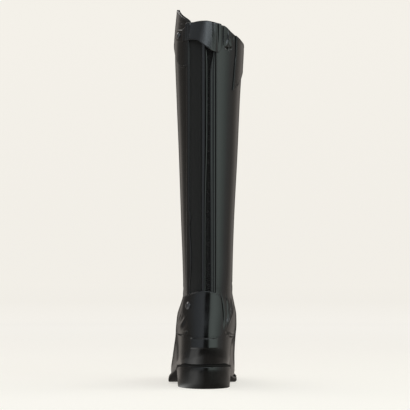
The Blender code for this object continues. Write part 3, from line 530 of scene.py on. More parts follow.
def back_place(x, z):
    """Section and angle of the point on the back half that shows at x and z from behind."""
    x, z = arrays(x, z)
    q = z.copy()
    for _ in range(PLACE_ROUNDS):
        q = q + z - surface(q, turn_at_x(q, x))[..., 2]
        q = np.clip(q, FEATHER_Q, PEAK_Q)
    return q, turn_at_x(q, x)


def front_turn(q, aside):
    """Angle of the point that lies so far to the side of the front ridge."""
    return turn_at_x(q, TRACKS["front_x"](q) + aside, front=True)


def front_grid(rows, aside):
    """Section and angle of a grid on the front from its rows and each corner's place to the side."""
    q = np.broadcast_to(rows[:, None], aside.shape)
    return q, front_turn(q, aside)


def lengths(points):
    """Length along a line of points at each point; a grid is measured down its columns."""
    steps = np.linalg.norm(np.diff(points, axis=0), axis=-1)
    return np.concatenate([np.zeros_like(steps[:1]), np.cumsum(steps, axis=0)])


def measured(q, fine):
    """Length of a section between its fine angles, and a function for the angle at a share of it."""
    along = lengths(surface(q, fine))
    return along[-1], lambda shares: np.interp(shares * along[-1], along, fine)


def span_shares(length, cells, spacing=EVEN):
    """Shares of a span with close steps at both ends, for rounded edges; spacing bends those between."""
    near = np.array(EDGE_STEPS) / length
    even = np.linspace(0, 1, cells + 1)
    inner = near[-1] + (1 - 2 * near[-1]) * track(*zip(*spacing))(even)
    return np.concatenate([near[:-1], inner, 1 - near[:-1][::-1]])


def spaced(first, last, cells, length=None):
    """Values with close steps at both ends; length is the real one where the values don't give it."""
    return first + (last - first) * span_shares(length or last - first, cells)


def round_off(distance, radius):
    """How far a rounded edge lies below the face, at a distance from the edge."""
    into = np.clip(1 - np.asarray(distance) / radius, 0, 1)
    return radius * (1 - np.sqrt(1 - into**2))


def soft_step(value, start, stop):
    """Rise from 0 to 1 between two values, with soft ends."""
    share = np.clip((np.asarray(value, float) - start) / (stop - start), 0, 1)
    return share * share * (3 - 2 * share)


def circle(sides):
    """Points round a unit circle, as (cosine, sine)."""
    angle = FULL_TURN * np.arange(sides) / sides
    return np.stack([np.cos(angle), np.sin(angle)], axis=1)


def edge_distance(points, square=()):
    """Least distance of each grid point from the sides of its grid, but for square ones."""
    down = lengths(points)
    across = lengths(points.swapaxes(0, 1)).T
    sides = {"low": down, "high": down[-1:] - down, "left": across, "right": across[:, -1:] - across}
    return np.minimum.reduce([apart for side, apart in sides.items() if side not in square])


def add_mesh(name, points, faces, looks, face_looks=None):
    """Object from points in millimetres and faces, turned so that they look outwards."""
    used, faces = np.unique(faces, return_inverse=True)
    faces = faces.reshape(-1, 4)
    points = points[used]
    a, b, c, d = (points[faces[:, k]] for k in range(4))
    volume = np.einsum("ij,ij->", a, np.cross(b, c)) + np.einsum("ij,ij->", a, np.cross(c, d))
    if volume < 0:
        faces = faces[:, ::-1]
    mesh = bpy.data.meshes.new(name)
    polygons = [tuple(dict.fromkeys(face)) for face in faces.tolist()]
    mesh.from_pydata(((points + SHIFT) * MM).tolist(), [], polygons)
    for look in looks:
        mesh.materials.append(look)
    if face_looks is not None:
        mesh.polygons.foreach_set("material_index", face_looks)
    mesh.shade_smooth()
    mesh.set_sharp_from_angle(angle=math.radians(SHARP_DEGREES))
    piece = bpy.data.objects.new(name, mesh)
    bpy.context.scene.collection.objects.link(piece)
    return piece


def settle(piece, slot, *nodes):
    """The piece rides on the boot and stands for CAD nodes; slot is not used."""
    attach(piece, "root")
    if nodes:
        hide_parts(*nodes)


def grid_quads(rows, columns, closed=False):
    """Corner indices of each cell of a grid, as (cells down, cells across, 4)."""
    i, j = np.meshgrid(np.arange(rows - 1), np.arange(columns if closed else columns - 1), indexing="ij")
    here, after = i * columns + j, i * columns + (j + 1) % columns
    return np.stack([here, after, after + columns, here + columns], axis=-1)


def sheet(name, outer, inner, looks, keep=None, closed=False):
    """Closed sheet between two grids of points, without the cells that keep leaves out."""
    rows, columns = outer.shape[:2]
    quads = grid_quads(rows, columns, closed)
    if keep is None:
        keep = np.ones(quads.shape[:2], bool)
    count = rows * columns
    faces = [quads[keep], quads[keep][:, ::-1] + count]
    around = np.pad(keep, 1)
    if closed:
        around[1:-1, 0] = keep[:, -1]
        around[1:-1, -1] = keep[:, 0]
    beside = (around[:-2, 1:-1], around[1:-1, 2:], around[2:, 1:-1], around[1:-1, :-2])
    for k, neighbour in enumerate(beside):
        edge = quads[keep & ~neighbour]
        a, b = edge[:, k], edge[:, (k + 1) % 4]
        faces.append(np.stack([b, a, a + count, b + count], axis=1))
    face_looks = np.zeros(sum(len(f) for f in faces), np.int32)
    if len(looks) > 1:
        face_looks[len(faces[0]):len(faces[0]) + len(faces[1])] = 1
    points = np.concatenate([outer.reshape(-1, 3), inner.reshape(-1, 3)])
    return add_mesh(name, points, np.concatenate(faces), looks, face_looks)


def pad(name, q, turn, low, high, look, swell=0.0, radius=EDGE_RADIUS, square=()):
    """Leather piece on the upper with rounded edges; swell is added to its height."""
    base = surface(q, turn)
    out = normal(q, turn)
    high = high + swell - round_off(edge_distance(base, square), radius)
    low = np.broadcast_to(np.asarray(low, float), q.shape)
    return sheet(name, base + high[..., None] * out, base + low[..., None] * out, [look])


def lofted(name, rings, look):
    """Closed solid through rings; its caps join the points that face each other in a ring."""
    count = len(rings[0])
    quads = grid_quads(len(rings), count, closed=True).reshape(-1, 4)
    k = np.arange((count - 1) // 2)
    cap = np.stack([k, k + 1, count - 2 - k, count - 1 - k], axis=1)
    faces = np.concatenate([quads, cap[:, ::-1], cap + (len(rings) - 1) * count])
    return add_mesh(name, np.concatenate(rings), faces, [look])


def fill(tree, node, inputs):
    """Link or set inputs of a node."""
    for key, value in inputs.items():
        if isinstance(value, bpy.types.NodeSocket):
            tree.links.new(value, node.inputs[key])
        else:
            node.inputs[key].default_value = value


def add_node(tree, kind, inputs=None, **settings):
    node = tree.nodes.new(kind)
    for name, value in settings.items():
        setattr(node, name, value)
    fill(tree, node, inputs or {})
    return node


def new_look(name):
    """Material with its node tree, its shader and the place on the object."""
    material = bpy.data.materials.new(name)
    material.use_nodes = True
    tree = material.node_tree
    place = add_node(tree, "ShaderNodeTexCoord").outputs["Object"]
    return material, tree, tree.nodes["Principled BSDF"], place


def noise(tree, place, scale, detail):
    inputs = {"Vector": place, "Scale": scale, "Detail": detail}
    return add_node(tree, "ShaderNodeTexNoise", inputs).outputs["Fac"]


def combine(tree, operation, first, second):
    return add_node(tree, "ShaderNodeMath", {0: first, 1: second}, operation=operation).outputs["Value"]


def bump(tree, height, strength, depth):
    inputs = {"Height": height, "Strength": strength, "Distance": depth}
    return add_node(tree, "ShaderNodeBump", inputs).outputs["Normal"]


def ramp(tree, factor, stops):
    """Colour by a factor, through stops of position and colour."""
    node = add_node(tree, "ShaderNodeValToRGB", {"Fac": factor})
    marks = node.color_ramp.elements
    while len(marks) < len(stops):
        marks.new(1.0)
    for mark, (position, colour) in zip(marks, stops):
        mark.position = position
        mark.color = (*colour, 1.0)
    return node.outputs["Color"]


def tone(tree, pattern, dark, light):
    """Colour between two tones by a pattern."""
    return ramp(tree, pattern, tuple(zip(PATTERN, (dark, light))))


def spread(tree, factor, start, stop, low, high):
    """Factor moved from one range to another."""
    inputs = {"Value": factor, "From Min": start, "From Max": stop, "To Min": low, "To Max": high}
    return add_node(tree, "ShaderNodeMapRange", inputs).outputs["Result"]


def leather(name, dark, light, roughness, grain, coat):
    """Polished calf: fine grain, pores and a slightly uneven gloss."""
    material, tree, shader, place = new_look(name)
    clouds = noise(tree, place, CLOUD_SCALE, 4)
    inputs = {"Vector": place, "Scale": CELL_SCALE}
    cells = add_node(tree, "ShaderNodeTexVoronoi", inputs, feature="SMOOTH_F1").outputs["Distance"]
    height = combine(tree, "MULTIPLY", cells, noise(tree, place, PORE_SCALE, 2))
    fill(tree, shader, {
        "Base Color": tone(tree, clouds, dark, light),
        "Roughness": spread(tree, clouds, *PATTERN, roughness * 0.9, roughness * 1.15),
        "Normal": bump(tree, height, grain, GRAIN_DEPTH),
        "Coat Weight": coat,
        "Coat Roughness": COAT_ROUGHNESS,
    })
    return material


def woven(name, dark, light, roughness, scale, relief, sheen):
    """Cloth with a fine weave from two crossed waves."""
    material, tree, shader, place = new_look(name)
    waves = [add_node(tree, "ShaderNodeTexWave", {"Vector": place, "Scale": scale}, bands_direction=way)
             for way in "XZ"]
    fuzz = noise(tree, place, FUZZ_SCALE, 3)
    weave = combine(tree, "MULTIPLY", *(wave.outputs["Fac"] for wave in waves))
    fill(tree, shader, {
        "Base Color": tone(tree, fuzz, dark, light),
        "Roughness": roughness,
        "Normal": bump(tree, combine(tree, "ADD", weave, fuzz), relief, GRAIN_DEPTH),
        "Sheen Weight": sheen,
    })
    return material


def moulded(name, dark, light, roughness, speckle, metallic=0.0, coat=0.0, specular=0.5):
    """Rubber, enamel or plastic with a faint mottle and fine scratches."""
    material, tree, shader, place = new_look(name)
    mottle = noise(tree, place, MOTTLE_SCALE, 5)
    fine = noise(tree, place, SPECKLE_SCALE, 2)
    fill(tree, shader, {
        "Base Color": tone(tree, mottle, dark, light),
        "Roughness": spread(tree, mottle, *PATTERN, roughness * 0.85, roughness * 1.15),
        "Normal": bump(tree, fine, speckle, SPECKLE_DEPTH),
        "Metallic": metallic,
        "Specular IOR Level": specular,
        "Coat Weight": coat,
    })
    return material


CALF = leather("calf", (0.0018, 0.0018, 0.0017), (0.0030, 0.0029, 0.0027), 0.20, 0.06, 0.30)
TRIM = leather("trim_calf", (0.0019, 0.0019, 0.0020), (0.0031, 0.0031, 0.0031), 0.18, 0.05, 0.35)
SPUR = leather("spur_calf", (0.0022, 0.0022, 0.0022), (0.0040, 0.0040, 0.0039), 0.18, 0.06, 0.35)
LINING = leather("lining_calf", (0.012, 0.011, 0.010), (0.020, 0.018, 0.016), 0.55, 0.10, 0.0)
ELASTIC = woven("elastic_rib", (0.0030, 0.0030, 0.0027), (0.0052, 0.0052, 0.0046), 0.85, 420.0, 0.5, 0.05)
TAPE = woven("zip_weave", (0.0018, 0.0018, 0.0018), (0.0030, 0.0030, 0.0030), 0.85, 600.0, 0.5, 0.02)
THREAD = woven("thread", (0.008, 0.008, 0.008), (0.016, 0.016, 0.016), 0.45, 900.0, 0.3, 0.05)
LACE = woven("lace_braid", (0.008, 0.008, 0.008), (0.014, 0.014, 0.014), 0.6, 500.0, 0.6, 0.1)
SOCK = woven("sock_lining", (0.014, 0.0135, 0.013), (0.022, 0.021, 0.020), 0.8, 300.0, 0.4, 0.05)
TEETH = moulded("zip_nylon", (0.010, 0.010, 0.010), (0.018, 0.018, 0.018), 0.26, 0.05)
SNAP = moulded("snap_enamel", (0.045, 0.046, 0.048), (0.075, 0.076, 0.080), 0.14, 0.02, 0.6, 0.8)
EYELET = moulded("eyelet_enamel", (0.008, 0.008, 0.008), (0.014, 0.014, 0.014), 0.25, 0.03, 0.3, 0.3)
RUBBER = moulded("sole_rubber", (0.005, 0.0047, 0.0044), (0.009, 0.0084, 0.0079), 0.55, 0.12, specular=0.2)
# Welt in a grey well above the black of the other parts: part of it is the welt's own grey, part is painted
# light, so that the upward strip along the sole reads as lit.
WELT = moulded("welt_grey_painted_light", (0.045, 0.0430, 0.0405), (0.075, 0.0715, 0.0675), 0.35, 0.15)
HEEL = moulded("heel_stack", (0.0020, 0.0020, 0.0019), (0.0034, 0.0033, 0.0031), 0.22, 0.02, 0.0, 0.1)


def crease_lines():
    """Depth, width and points of each crease on the upper's surface."""
    at = np.linspace(0, 1, CREASE_SAMPLES)
    lines = []
    for depth, width, corners in BACK_CREASES:
        along = lengths(np.array(corners))
        x, z = (track(along, values)(at * along[-1]) for values in zip(*corners))
        lines.append((depth, width, surface(*back_place(x, z))))
    for depth, width, corners in SIDE_CREASES:
        share = np.linspace(0, 1, len(corners))
        q, degrees = (track(share, values)(at) for values in zip(*corners))
        lines.append((depth, width, surface(q, np.radians(degrees))))
    return lines


CREASE_LINES = crease_lines()


def crease_relief(points):
    """Height that the creases add to the upper at each point."""
    height = np.zeros(points.shape[:-1])
    taper = np.sin(np.linspace(0, math.pi, CREASE_SAMPLES)) ** CREASE_TAPER
    for depth, width, line in CREASE_LINES:
        reach = CREASE_REACH * width
        near = np.all((points > line.min(axis=0) - reach) & (points < line.max(axis=0) + reach), axis=-1)
        apart = np.linalg.norm(points[near][:, None] - line[None], axis=2)
        share = (apart.min(axis=1) / width) ** 2
        height[near] -= depth * taper[apart.argmin(axis=1)] * (1 - share) * np.exp(-share / CREASE_FALL)
    return height


def column_turns(q):
    """Angles of the upper's columns at section q, from the slot's outer edge round."""
    slot = float(turn_at_x(q, SLOT_LATERAL_X))
    opening = float(throat_half(q))
    stops = (slot, float(front_turn(q, -opening)), float(front_turn(q, opening)),
             FULL_TURN + float(turn_at_x(q, SLOT_MEDIAL_X)), FULL_TURN + slot)
    turns = []
    for start, stop, (cells, spacing) in zip(stops, stops[1:], UPPER_STRETCHES):
        length, turn_at = measured(q, np.linspace(start, stop, 240))
        turns.append(turn_at(span_shares(length, cells, spacing))[:-1])
    return np.concatenate(turns)


def upper_grid():
    """Section and angle of each corner of the upper's grid, and its depth below the topline."""
    stops = zip(UPPER_ROW_STOPS, UPPER_ROW_STOPS[1:], UPPER_ROW_CELLS)
    rows = [np.linspace(low, high, cells, endpoint=False) for low, high, cells in stops]
    rows = np.concatenate([*rows, [TOPLINE_BLEND_FROM]])
    turns = [column_turns(q) for q in rows]
    qs = [np.full(len(turns[0]), q) for q in rows]
    below = [TOPLINE_COLUMNS_AT - q for q in qs]
    rise = TOPLINE_COLUMNS_AT - TOPLINE_BLEND_FROM
    near = 1 - np.array(EDGE_STEPS[::-1]) / rise
    for share in np.concatenate([np.linspace(0, near[0], UPPER_TOP_CELLS + 1)[1:], near[1:]]):
        turn = column_turns(TOPLINE_BLEND_FROM + rise * share)
        edge = topline(np.mod(turn, FULL_TURN))
        q = TOPLINE_BLEND_FROM + (edge - TOPLINE_BLEND_FROM) * share
        turn[0] = turn_at_x(q[0], SLOT_LATERAL_X)
        turn[SLOT_START] = FULL_TURN + turn_at_x(q[SLOT_START], SLOT_MEDIAL_X)
        turns.append(turn)
        qs.append(q)
        below.append(edge - q)
    return np.array(qs), np.array(turns), np.array(below)


def make_upper():
    """Hollow upper with its slot and throat cut out and every edge rounded."""
    q, turn, edge = upper_grid()
    points = surface(q, turn)
    back = np.cos(turn) > 0
    x = points[..., 0]
    beside_slot = np.minimum(np.abs(x - SLOT_LATERAL_X), np.abs(x - SLOT_MEDIAL_X))
    edge = np.where(back & (q >= SLOT_BOTTOM), np.minimum(edge, beside_slot), edge)
    beside_throat = np.abs(np.abs(x - TRACKS["front_x"](q)) - throat_half(q))
    in_throat = ~back & (q >= THROAT_BOTTOM) & (q <= THROAT_TOP)
    edge = np.where(in_throat, np.minimum(edge, beside_throat), edge)
    relief = crease_relief(points)
    outer = skin(q, turn, relief - round_off(edge, EDGE_RADIUS))
    inner = skin(q, turn, relief - WALL)
    keep = np.ones((q.shape[0] - 1, q.shape[1]), bool)
    row_q = q.min(axis=1)[:-1] + ROW_TOLERANCE
    keep[row_q >= SLOT_BOTTOM, SLOT_START:SLOT_STOP] = False
    keep[(row_q >= THROAT_BOTTOM) & (row_q < THROAT_TOP), THROAT_START:THROAT_STOP] = False
    settle(sheet("upper_leather", outer, inner, [CALF, LINING], keep, closed=True), "leather", "upper")


def add_trim(node, q, turn, low, high, **shape):
    """Pad of trim leather that stands for a CAD node."""
    settle(pad(f"{node}_leather", q, turn, low, high, TRIM, **shape), "leather_trim", node)


BAND_START_TURN = float(turn_at_x(BAND_LOW_Z[0], SLOT_LATERAL_X))


def make_top_band():
    columns, rows = BAND_CELLS
    length, turn_at = measured(BAND_MEASURED_AT, np.linspace(BAND_START_TURN, BAND_EDGE_TURN, 400))
    turn = turn_at(span_shares(length, columns))
    share = span_shares(BAND_HEIGHT, rows)[:, None]

    def q_at(turn):
        return band_low(turn) + (topline(turn) - band_low(turn)) * share

    edge_blend = soft_step(turn, BAND_EDGE_TURN - BAND_EDGE_BLEND, BAND_EDGE_TURN)
    turn = turn + band_edge_shift(q_at(turn)) * edge_blend
    q = q_at(turn)
    swell = crease_relief(surface(q, turn))
    add_trim("top_band", q, turn, OVERLAY_LOW + swell, OVERLAY_TOP, swell=swell)


STRIP_ROWS = spaced(SLOT_BOTTOM + GAP, STRIP_TOP, STRIP_CELLS, STRIP_TOP - SLOT_BOTTOM)


def strip_grid(left, right, shares):
    """Section and angle of an upright strip; each side is one x or a curve of x by height."""
    left, right = (side(STRIP_ROWS) if callable(side) else np.full(STRIP_ROWS.shape, side)
                   for side in (left, right))
    x = left[:, None] + (right - left)[:, None] * shares
    q = np.broadcast_to(STRIP_ROWS[:, None], x.shape)
    return q, turn_at_x(q, x)


def make_elastic():
    shares = np.linspace(0, 1, ELASTIC_RIBS * ELASTIC_RIB_CELLS + 1)
    q, turn = strip_grid(*ELASTIC_X, shares)
    low, high = ELASTIC_OFFSETS
    rib = ELASTIC_RIB_HEIGHT * np.abs(np.sin(math.pi * ELASTIC_RIBS * shares))
    piece = sheet("elastic_gore", skin(q, turn, high + rib), skin(q, turn, low), [ELASTIC])
    settle(piece, "elastic", "elastic_panel")


def make_binding():
    shares = span_shares(BINDING_WIDTH, BINDING_CELLS)
    q, turn = strip_grid(BINDING_OUTER_X, binding_edge, shares)
    swell = BINDING_SWELL * np.sin(math.pi * shares) ** BINDING_ROUND
    piece = pad("elastic_binding", q, turn, *BINDING_OFFSETS, TRIM, swell, BINDING_RADIUS)
    settle(piece, "leather_trim")


def make_facings():
    """Leather facings on both sides of the zip: one roll outside, two inside."""
    shares = span_shares(FACING_WIDTH, FACING_CELLS)
    for side, left, right, rolls in (("outer", FACING_OUTER_X, teeth_edge_outer, 1),
                                     ("inner", teeth_edge_inner, FACING_INNER_X, 2)):
        q, turn = strip_grid(left, right, shares)
        swell = FACING_SWELL * np.abs(np.sin(math.pi * rolls * shares)) ** FACING_ROUND
        add_trim(f"zip_facing_{side}", q, turn, *FACING_OFFSETS, swell=swell, radius=FACING_RADIUS)


def capsule_field(name, bars, size, look, sides=8, rings=6):
    """Many small rounded bars as one mesh, from groups of centres, directions and normals."""
    centres, ahead, up = (np.concatenate(group) for group in zip(*bars))
    ahead = unit(ahead)
    side = unit(np.cross(up, ahead))
    axes = np.stack([ahead, side, np.cross(ahead, side)], axis=1)
    swing = np.linspace(0, math.pi, rings)
    long = -np.sign(np.cos(swing)) * np.abs(np.cos(swing)) ** CAPSULE_FULL
    wide = np.sin(swing) ** CAPSULE_FULL
    wide[-1] = 0.0
    round_part = (wide[:, None, None] * circle(sides)).reshape(-1, 2)
    local = np.column_stack((np.repeat(long, sides), round_part)) * size
    points = centres[:, None] + np.einsum("lk,nkc->nlc", local, axes)
    quads = grid_quads(rings, sides, closed=True).reshape(-1, 4)
    first = np.arange(len(centres)) * len(local)
    faces = (quads + first[:, None, None]).reshape(-1, 4)
    return add_mesh(name, points.reshape(-1, 3), faces, [look])


def make_zip():
    q, turn = strip_grid(*TAPE_X, np.linspace(0, 1, 9))
    low, high = TAPE_OFFSETS
    settle(sheet("zip_tape_weave", skin(q, turn, high), skin(q, turn, low), [TAPE]), "zip_tape", "zip_tape")
    bars = []
    first, last = SLOT_BOTTOM + TOOTH_ENDS[0], STRIP_TOP - TOOTH_ENDS[1]
    for k, (x, lean) in enumerate(TOOTH_X_LEAN):
        q = np.arange(first + k * TOOTH_PITCH / 2, last, TOOTH_PITCH)
        turn = turn_at_x(q, x)
        bars.append((skin(q, turn, TOOTH_OFFSET), np.tile((1.0, 0.0, lean), (len(q), 1)), normal(q, turn)))
    settle(capsule_field("zip_coil_teeth", bars, TOOTH_HALF_SIZE, TEETH), "zip_teeth", "zip_coil")


def edged_grid(table, cells):
    """Grid on the back of the boot from rows of EDGED_COLUMNS, with the curve of each column."""
    columns = np.array(table).T
    x = spaced(columns[0, 0], columns[0, -1], cells[0])
    curves = [track(columns[0], values)(x) for values in columns]
    low, high = curves[1:3]
    share = span_shares(float(np.max(high - low)), cells[1])[:, None]
    q, turn = back_place(x, low + (high - low) * share)
    return q, turn, dict(zip(EDGED_COLUMNS, curves))


def turned(name, q, turn, offset, profile, look, sides=40):
    """Turned piece that stands on the upper, from (radius, height) points."""
    seat = skin(q, turn, offset)
    axis = Vector(normal(q, turn))
    right = axis.orthogonal().normalized()
    flat = circle(sides) @ np.array((right, axis.cross(right)))
    rings = [seat + flat * max(radius, 0.02) + np.array(axis) * height for radius, height in profile]
    return lofted(name, rings, look)


def make_top_tab():
    """Tab that leans back over the zip, with a step, gathers and a ridge towards its snap."""
    q, turn, curves = edged_grid(TOP_TAB, TOP_TAB_CELLS)
    x = curves["x"]
    share = (surface(q, turn)[..., 2] - curves["low"]) / (curves["high"] - curves["low"])
    lean = TOP_TAB_LEAN * soft_step(x, *TOP_TAB_LEAN_FROM) * (1 - soft_step(x, *TOP_TAB_LEAN_TO))
    stand_off = curves["stand_off"] + lean * (0.5 - share)
    gathers = np.sin(FULL_TURN * x / TOP_TAB_GATHER_PITCH) * soft_step(x, *TOP_TAB_GATHERS_FROM)
    gathers = gathers * (1 - soft_step(x, *TOP_TAB_GATHERS_TO))
    swell = TOP_TAB_STEP * (soft_step(x, *TOP_TAB_STEP_X) - 1) + TOP_TAB_GATHER * gathers
    for height, at, width in TOP_TAB_RIDGES:
        swell = swell + height * np.exp(-(((x - at) / width) ** 2))
    add_trim("top_tab", q, turn, stand_off, stand_off + TAB_THICK, swell=swell)


def make_ankle_tab():
    q, turn, _ = edged_grid(ANKLE_TAB, ANKLE_TAB_CELLS)
    add_trim("ankle_tab", q, turn, ANKLE_TAB_STAND_OFF - TRIM_SINK, ANKLE_TAB_TOP, square=("low",))


def make_snap(tab, at, radius, face):
    profile = [(radius * share, height) for share, height in SNAP_PROFILE]
    piece = turned(f"{tab}_snap_cap", *back_place(*at), face - SNAP_SINK, profile, SNAP)
    settle(piece, "snap_metal", f"{tab}_snap")


def make_tabs():
    for make_tab, snap in zip((make_top_tab, make_ankle_tab), SNAPS):
        make_tab()
        make_snap(*snap)


def make_heel_trim():
    """Counter, whose top rises to meet the ankle tab, and the spur rest on it."""
    q, turn, _ = edged_grid(COUNTER, COUNTER_CELLS)
    high = COUNTER_STAND_OFF + OVERLAY
    swell = (ANKLE_TAB_TOP - high) * soft_step(surface(q, turn)[..., 2], *COUNTER_BLEND_Z)
    low = COUNTER_STAND_OFF - TRIM_SINK
    add_trim("heel_counter", q, turn, low, high, swell=swell, square=("low", "high"))
    x = spaced(*SPUR_REST_X, SPUR_REST_CELLS[0])
    z = spaced(*SPUR_REST_Z, SPUR_REST_CELLS[1])
    q, turn = back_place(*np.meshgrid(x, z))
    piece = pad("spur_rest_bar", q, turn, *SPUR_REST_OFFSETS, SPUR, radius=SPUR_REST_RADIUS)
    settle(piece, "spur_rest", "spur_rest")


def eyelet_places():
    """Section and sideways reach of each pair of eyelets from the bottom."""
    q = EYELET_FIRST + EYELET_STEP * np.arange(EYELET_PAIRS)
    return q, throat_half(q) + EYELET_INSET


def make_lacing():
    """Eyestays beside the throat, the tongue behind it and the eyelets."""
    columns, rows = EYESTAY_CELLS
    rows = spaced(*EYESTAY_ROWS, rows, EYESTAY_LENGTH)
    aside = throat_half(rows)[:, None] + spaced(0, EYESTAY_WIDTH, columns)
    for side, sign in SIDES:
        q, turn = front_grid(rows, sign * aside)
        add_trim(f"eyestay_{side}", q, turn, OVERLAY_LOW, OVERLAY_TOP)
    columns, rows = TONGUE_POINTS
    rows = np.linspace(*TONGUE_ROWS, rows)
    aside = np.linspace(-1, 1, columns) * (throat_half(rows) + EYESTAY_WIDTH)[:, None]
    q, turn = front_grid(rows, aside)
    low, high = TONGUE_OFFSETS
    settle(sheet("tongue_leather", skin(q, turn, high), skin(q, turn, low), [TRIM]), "leather_trim", "tongue")
    for number, (q, aside) in enumerate(zip(*eyelet_places()), 1):
        for side, sign in SIDES:
            piece = turned(f"eyelet_{side}_ring_{number}", q, front_turn(q, sign * aside), EYELET_SEAT,
                           EYELET_PROFILE, EYELET, EYELET_SIDES)
            settle(piece, "eyelet_metal", f"eyelet_{side}_{number}")


def tube(points, radius, sides):
    """Rings of a round cord along a line of points."""
    ahead = unit(np.gradient(points, axis=0))
    up = np.cross(ahead[0], (1.0, 0.2, 0.1))
    rings = []
    for point, way in zip(points, ahead):
        up = unit(up - way * (up @ way))
        rings.append(point + radius * circle(sides) @ np.stack([up, np.cross(way, up)]))
    return rings


def smooth_line(corners, count):
    """Rounded line through corner points, blended in three rounds between four corners at a time."""
    at = np.concatenate([[0.0], np.cumsum(np.sqrt(np.linalg.norm(np.diff(corners, axis=0), axis=1)))])
    t = np.linspace(0, at[-1], count)[:, None]
    i = np.clip(np.searchsorted(at, t[:, 0], side="right") - 1, 0, len(corners) - 2)
    corners = np.concatenate([[2 * corners[0] - corners[1]], corners, [2 * corners[-1] - corners[-2]]])
    at = np.concatenate([[2 * at[0] - at[1]], at, [2 * at[-1] - at[-2]]])
    points = [corners[i + k] for k in range(4)]
    knots = [at[i + k][:, None] for k in range(4)]
    for spans in (((0, 1), (1, 2), (2, 3)), ((0, 2), (1, 3)), ((1, 2),)):
        shares = [(t - knots[a]) / (knots[b] - knots[a]) for a, b in spans]
        points = [(1 - share) * points[k] + share * points[k + 1] for k, share in enumerate(shares)]
    return points[0]


def lace_run(start_side):
    """Corners of one half of the lace: out of an eyelet, across and under to the next one."""
    q, aside = eyelet_places()
    side = start_side
    corners = [(q[0], 0.0, LACE_UNDER), (q[0], side * aside[0] * LACE_BAR_SHARE, LACE_UNDER)]
    for k in range(EYELET_PAIRS):
        corners.append((q[k], side * aside[k], LACE_UNDER + LACE_HOLE_LIFT))
        corners.append((q[k], side * aside[k], LACE_OVER - LACE_HOLE_DROP))
        if k + 1 == EYELET_PAIRS:
            break
        corners.append((q[k] + LACE_OUT[0], side * (aside[k] - LACE_OUT[1]), LACE_OVER))
        corners.append(((q[k] + q[k + 1]) / 2, 0.0, LACE_CROSSINGS[k % 2]))
        side = -side
        edge = side * (float(throat_half(q[k + 1])) - LACE_EDGE[1])
        corners.append((q[k + 1] - LACE_EDGE[0], edge, LACE_UNDER + LACE_EDGE_LIFT))
        corners.append((q[k + 1] - LACE_IN[0], side * (aside[k + 1] - LACE_IN[1]), LACE_UNDER))
    q, aside, offset = np.array(corners).T
    return skin(q, front_turn(q, aside), offset)


def make_lace():
    for number, side, nodes in ((1, -1, ("lace",)), (2, 1, ())):
        rings = tube(smooth_line(lace_run(side), LACE_POINTS), LACE_RADIUS, LACE_SIDES)
        settle(lofted(f"lace_half_{number}", rings, LACE), "lace", *nodes)


def feather_ring(turn, reach):
    """Feather line seen from above, moved outwards by a reach."""
    step = NORMAL_STEP_TURN
    along = unit((surface(FEATHER_Q, turn - step) - surface(FEATHER_Q, turn + step))[..., :2])
    out = np.stack([along[..., 1], -along[..., 0]], axis=-1)
    return surface(FEATHER_Q, turn)[..., :2] + np.asarray(reach)[..., None] * out


def reach_at(turn):
    return sole_reach(surface(FEATHER_Q, turn)[..., 1])


def on_feather(flat, rise):
    """Ring seen from above, put at a height over the feather line."""
    return np.column_stack((flat, feather_z(flat[:, 1]) + rise))


def sole_turns(steps):
    """Angles round the feather line, evenly spaced on each side from heel to toe."""
    fine = np.linspace(0.02, math.pi - 0.02, 1500)
    outer, inner = (measured(FEATHER_Q, way * fine)[1](np.linspace(0, 1, steps)) for way in (1, -1))
    return np.concatenate([outer, inner[::-1]])


def make_outsole():
    turn = sole_turns(SOLE_HALF_STEPS)
    rings = []
    for inset, share in OUTSOLE_PROFILE:
        flat = feather_ring(turn, reach_at(turn) - inset)
        rings.append(on_feather(flat, -GAP - outsole_thick(flat[:, 1]) * (1 - share)))
    settle(lofted("outsole_edge", rings, RUBBER), "sole_rubber", "outsole")


def make_insole():
    turn = sole_turns(INSOLE_HALF_STEPS)
    rings = [on_feather(feather_ring(turn, -inset), rise) for inset, rise in INSOLE_PROFILE]
    settle(lofted("insole_sock", rings, SOCK), "insole", "insole")


def make_welt():
    fine = np.linspace(0, math.pi, 400)
    first, last = (np.interp(WELT_FROM_Y, surface(FEATHER_Q, way * fine)[:, 1], fine) for way in (1, -1))
    _, turn_at = measured(FEATHER_Q, np.linspace(first, FULL_TURN - last, 2000))
    turn = turn_at(np.linspace(0, 1, WELT_STEPS))
    width = np.maximum(reach_at(turn) - WELT_INSET - WELT_INSIDE, WELT_LEAST)
    lines = []
    for at, rise in WELT_PROFILE:
        share = (at - WELT_INSIDE) / (WELT_OUTSIDE - WELT_INSIDE)
        lines.append(on_feather(feather_ring(turn, WELT_INSIDE + share * width), rise))
    settle(lofted("welt_strip", np.stack(lines, axis=1), WELT), "welt", "welt")


